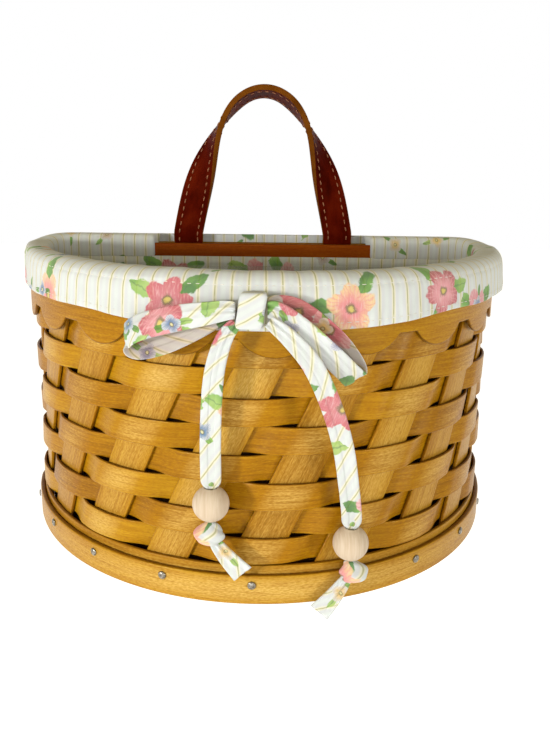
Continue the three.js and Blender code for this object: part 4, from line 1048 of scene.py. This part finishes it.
# Knotted ends: below each bead the tail is tied in an overhand knot, and its loose end flares out
# to one side and is cut straight.
KNOT_WIDE, KNOT_TALL, KNOT_GAP = 12.0, 10.5, 0.35
FLAP_NECK, FLAP_FLARE = 4.6, 5.4
for hand, bead_at, way, knot_shift in (("left", LEFT_BEAD, 1, -0.8), ("right", RIGHT_BEAD, -1, 2.2)):
    node, body = f"end_knot_{hand}", f"{hand}_tail"
    top = bead_at[1] + TAIL_END - KNOT_GAP
    turn = full_turn(48)[None]
    rise = np.linspace(0, np.pi, 40)[:, None]
    ridges = np.abs(np.sin(1.5 * turn + way * 2.3 * rise)) - 0.64
    wrap = 1 + 0.2 * ridges + 0.05 * np.cos(3 * turn + 4 * rise)
    reach = np.sin(rise) ** 0.7 * wrap * (0.66 + 0.34 * smooth(rise, 0.5, 1.7)) * KNOT_WIDE
    across = bead_at[0] + knot_shift * smooth(rise, 0.3, 1.6) + reach / 2 * np.cos(turn)
    up = top - KNOT_TALL / 2 * (1 - np.cos(rise))
    add_knot(f"{hand}_end_knot", node, body, across, up, BEAD_OUT + 0.4 * reach * np.sin(turn),
             np.linspace(0, WRAP_LENGTH, 49), -4 * rise)
    low = top - 0.8 * KNOT_TALL
    line, run = tie_line([
        [bead_at[0] + way * aside, low - drop, BEAD_OUT + stand]
        for aside, drop, stand in ((1.0, 0, 0), (3.4, 3.4, 0.3), (7.4, 8.8, 0.4), (12.4, 15.0, 0))
    ], 40)
    share = run / run[-1]
    width, folds = FLAP_NECK + FLAP_FLARE * share**0.7, 0.7 * (1 - 0.75 * share)
    across, full = tie_direction(1, 0.5 * way), 1.6 - 0.6 * share
    folded_tie(f"{hand}_end_flap", node, line, run, across, width, full, folds, body, shift=900)

# Studio: a pale floor below the hanging basket that glows, as painted light, more towards the back,
# a key from the front left, a weaker fill from the front right and a broad soft light in front, all
# about as high as the rim, a weak warm light from above, and a pale backdrop all round.
FLOOR_Z, FLOOR_HALF = -0.5, 4.0
floor_grid = np.linspace(-FLOOR_HALF, FLOOR_HALF, 3)
floor_x, floor_y = np.meshgrid(floor_grid, floor_grid, indexing="ij")
floor_sheet = np.stack([floor_x, floor_y, np.full((3, 3), FLOOR_Z)], -1)
studio_floor = add_skin("studio_floor", floor_sheet)
FLOOR_DARK, FLOOR_LIGHT = paint(246, 246, 245), paint(252, 252, 251)
matt, shader, drift = two_tone("pale_glowing_floor", 2.0, 0.2, FLOOR_DARK, FLOOR_LIGHT, detail=2, roughness=0.5)
depth = put(drift.tree, "SeparateXYZ", {"Vector": put(drift.tree, "TexCoord", {}, "Object")}, "Y")
# Painted light: the floor glows, from 0.4 in front to 0.88 at the back, where it shows behind the basket.
feed(shader, {
    "Roughness": 0.9,
    "Emission Color": (1.0, 1.0, 1.0, 1.0),
    "Emission Strength": depth.step(-0.4, 0.12, 0.4, 0.88),
})
studio_floor.data.materials.append(matt)


def place_at(name, data, right, upward, back, place):
    """Puts a light or a camera at a place, with its own axes along the given directions."""
    holder = bpy.data.objects.new(name, data)
    bpy.context.scene.collection.objects.link(holder)
    pose = np.eye(4)
    pose[:3] = np.stack([right, upward, back, place], 1)
    holder.matrix_world = Matrix(pose.tolist())
    return holder


def soft_light(name, place, size, power, colour):
    """Square area light that faces the basket."""
    lamp = bpy.data.lights.new(name, "AREA")
    lamp.size = size
    lamp.energy = power
    lamp.color = colour
    back = unit(np.array(place) - np.array([0, -0.06, -0.12]))
    side = unit(np.cross([0, 0, 1.0], back))
    place_at(name, lamp, side, np.cross(back, side), back, place)


soft_light("key", (-0.62, -0.66, -0.06), 0.1, 5.0, (1.0, 0.985, 0.95))
soft_light("fill", (0.6, -0.68, -0.08), 0.1, 2.2, (1.0, 0.99, 0.96))
soft_light("front", (-0.06, -1.0, -0.12), 0.36, 1.8, (1.0, 0.99, 0.97))
soft_light("top", (-0.1, -0.4, 1.0), 0.7, 1.7, (1.0, 0.84, 0.46))
surround = bpy.data.worlds.new("pale_surround")
surround.use_nodes = True
sky = surround.node_tree
toward = put(sky, "SeparateXYZ", {"Vector": put(sky, "TexCoord", {}, "Generated")})
backdrop = toward.output("Y").step(0.6, 0.9).mix((0.8, 0.79, 0.77, 1), (1.0, 1.0, 1.0, 1))
backdrop = toward.output("Z").step(0.16, 0.5).mix(backdrop, (0.3, 0.25, 0.13, 1))
feed(sky.nodes["Background"], {"Color": backdrop})
bpy.context.scene.world = surround
bpy.context.scene.view_settings.view_transform = "Standard"

# Camera: a little below the strap's crown, looking down into the basket.
CAMERA_AT = np.array([-10.0, -446.15, -34.6]) * MM
YAW, PITCH, ROLL = np.radians([2.28, 14.52, 0.89])
PICTURE_HEIGHT, FOCAL_PIXELS = 733, 792
forward = np.array([np.sin(YAW) * np.cos(PITCH), np.cos(YAW) * np.cos(PITCH), -np.sin(PITCH)])
level = np.array([np.cos(YAW), -np.sin(YAW), 0])
raised = np.cross(level, forward)
camera_right = np.cos(ROLL) * level + np.sin(ROLL) * raised
camera_up = -np.sin(ROLL) * level + np.cos(ROLL) * raised
lens = bpy.data.cameras.new("photo_camera")
lens.sensor_width = 36.0
lens.lens = FOCAL_PIXELS * lens.sensor_width / PICTURE_HEIGHT
lens.clip_start = 0.01
viewer = place_at("photo_camera", lens, camera_right, camera_up, -forward, CAMERA_AT)
bpy.context.scene.camera = viewer
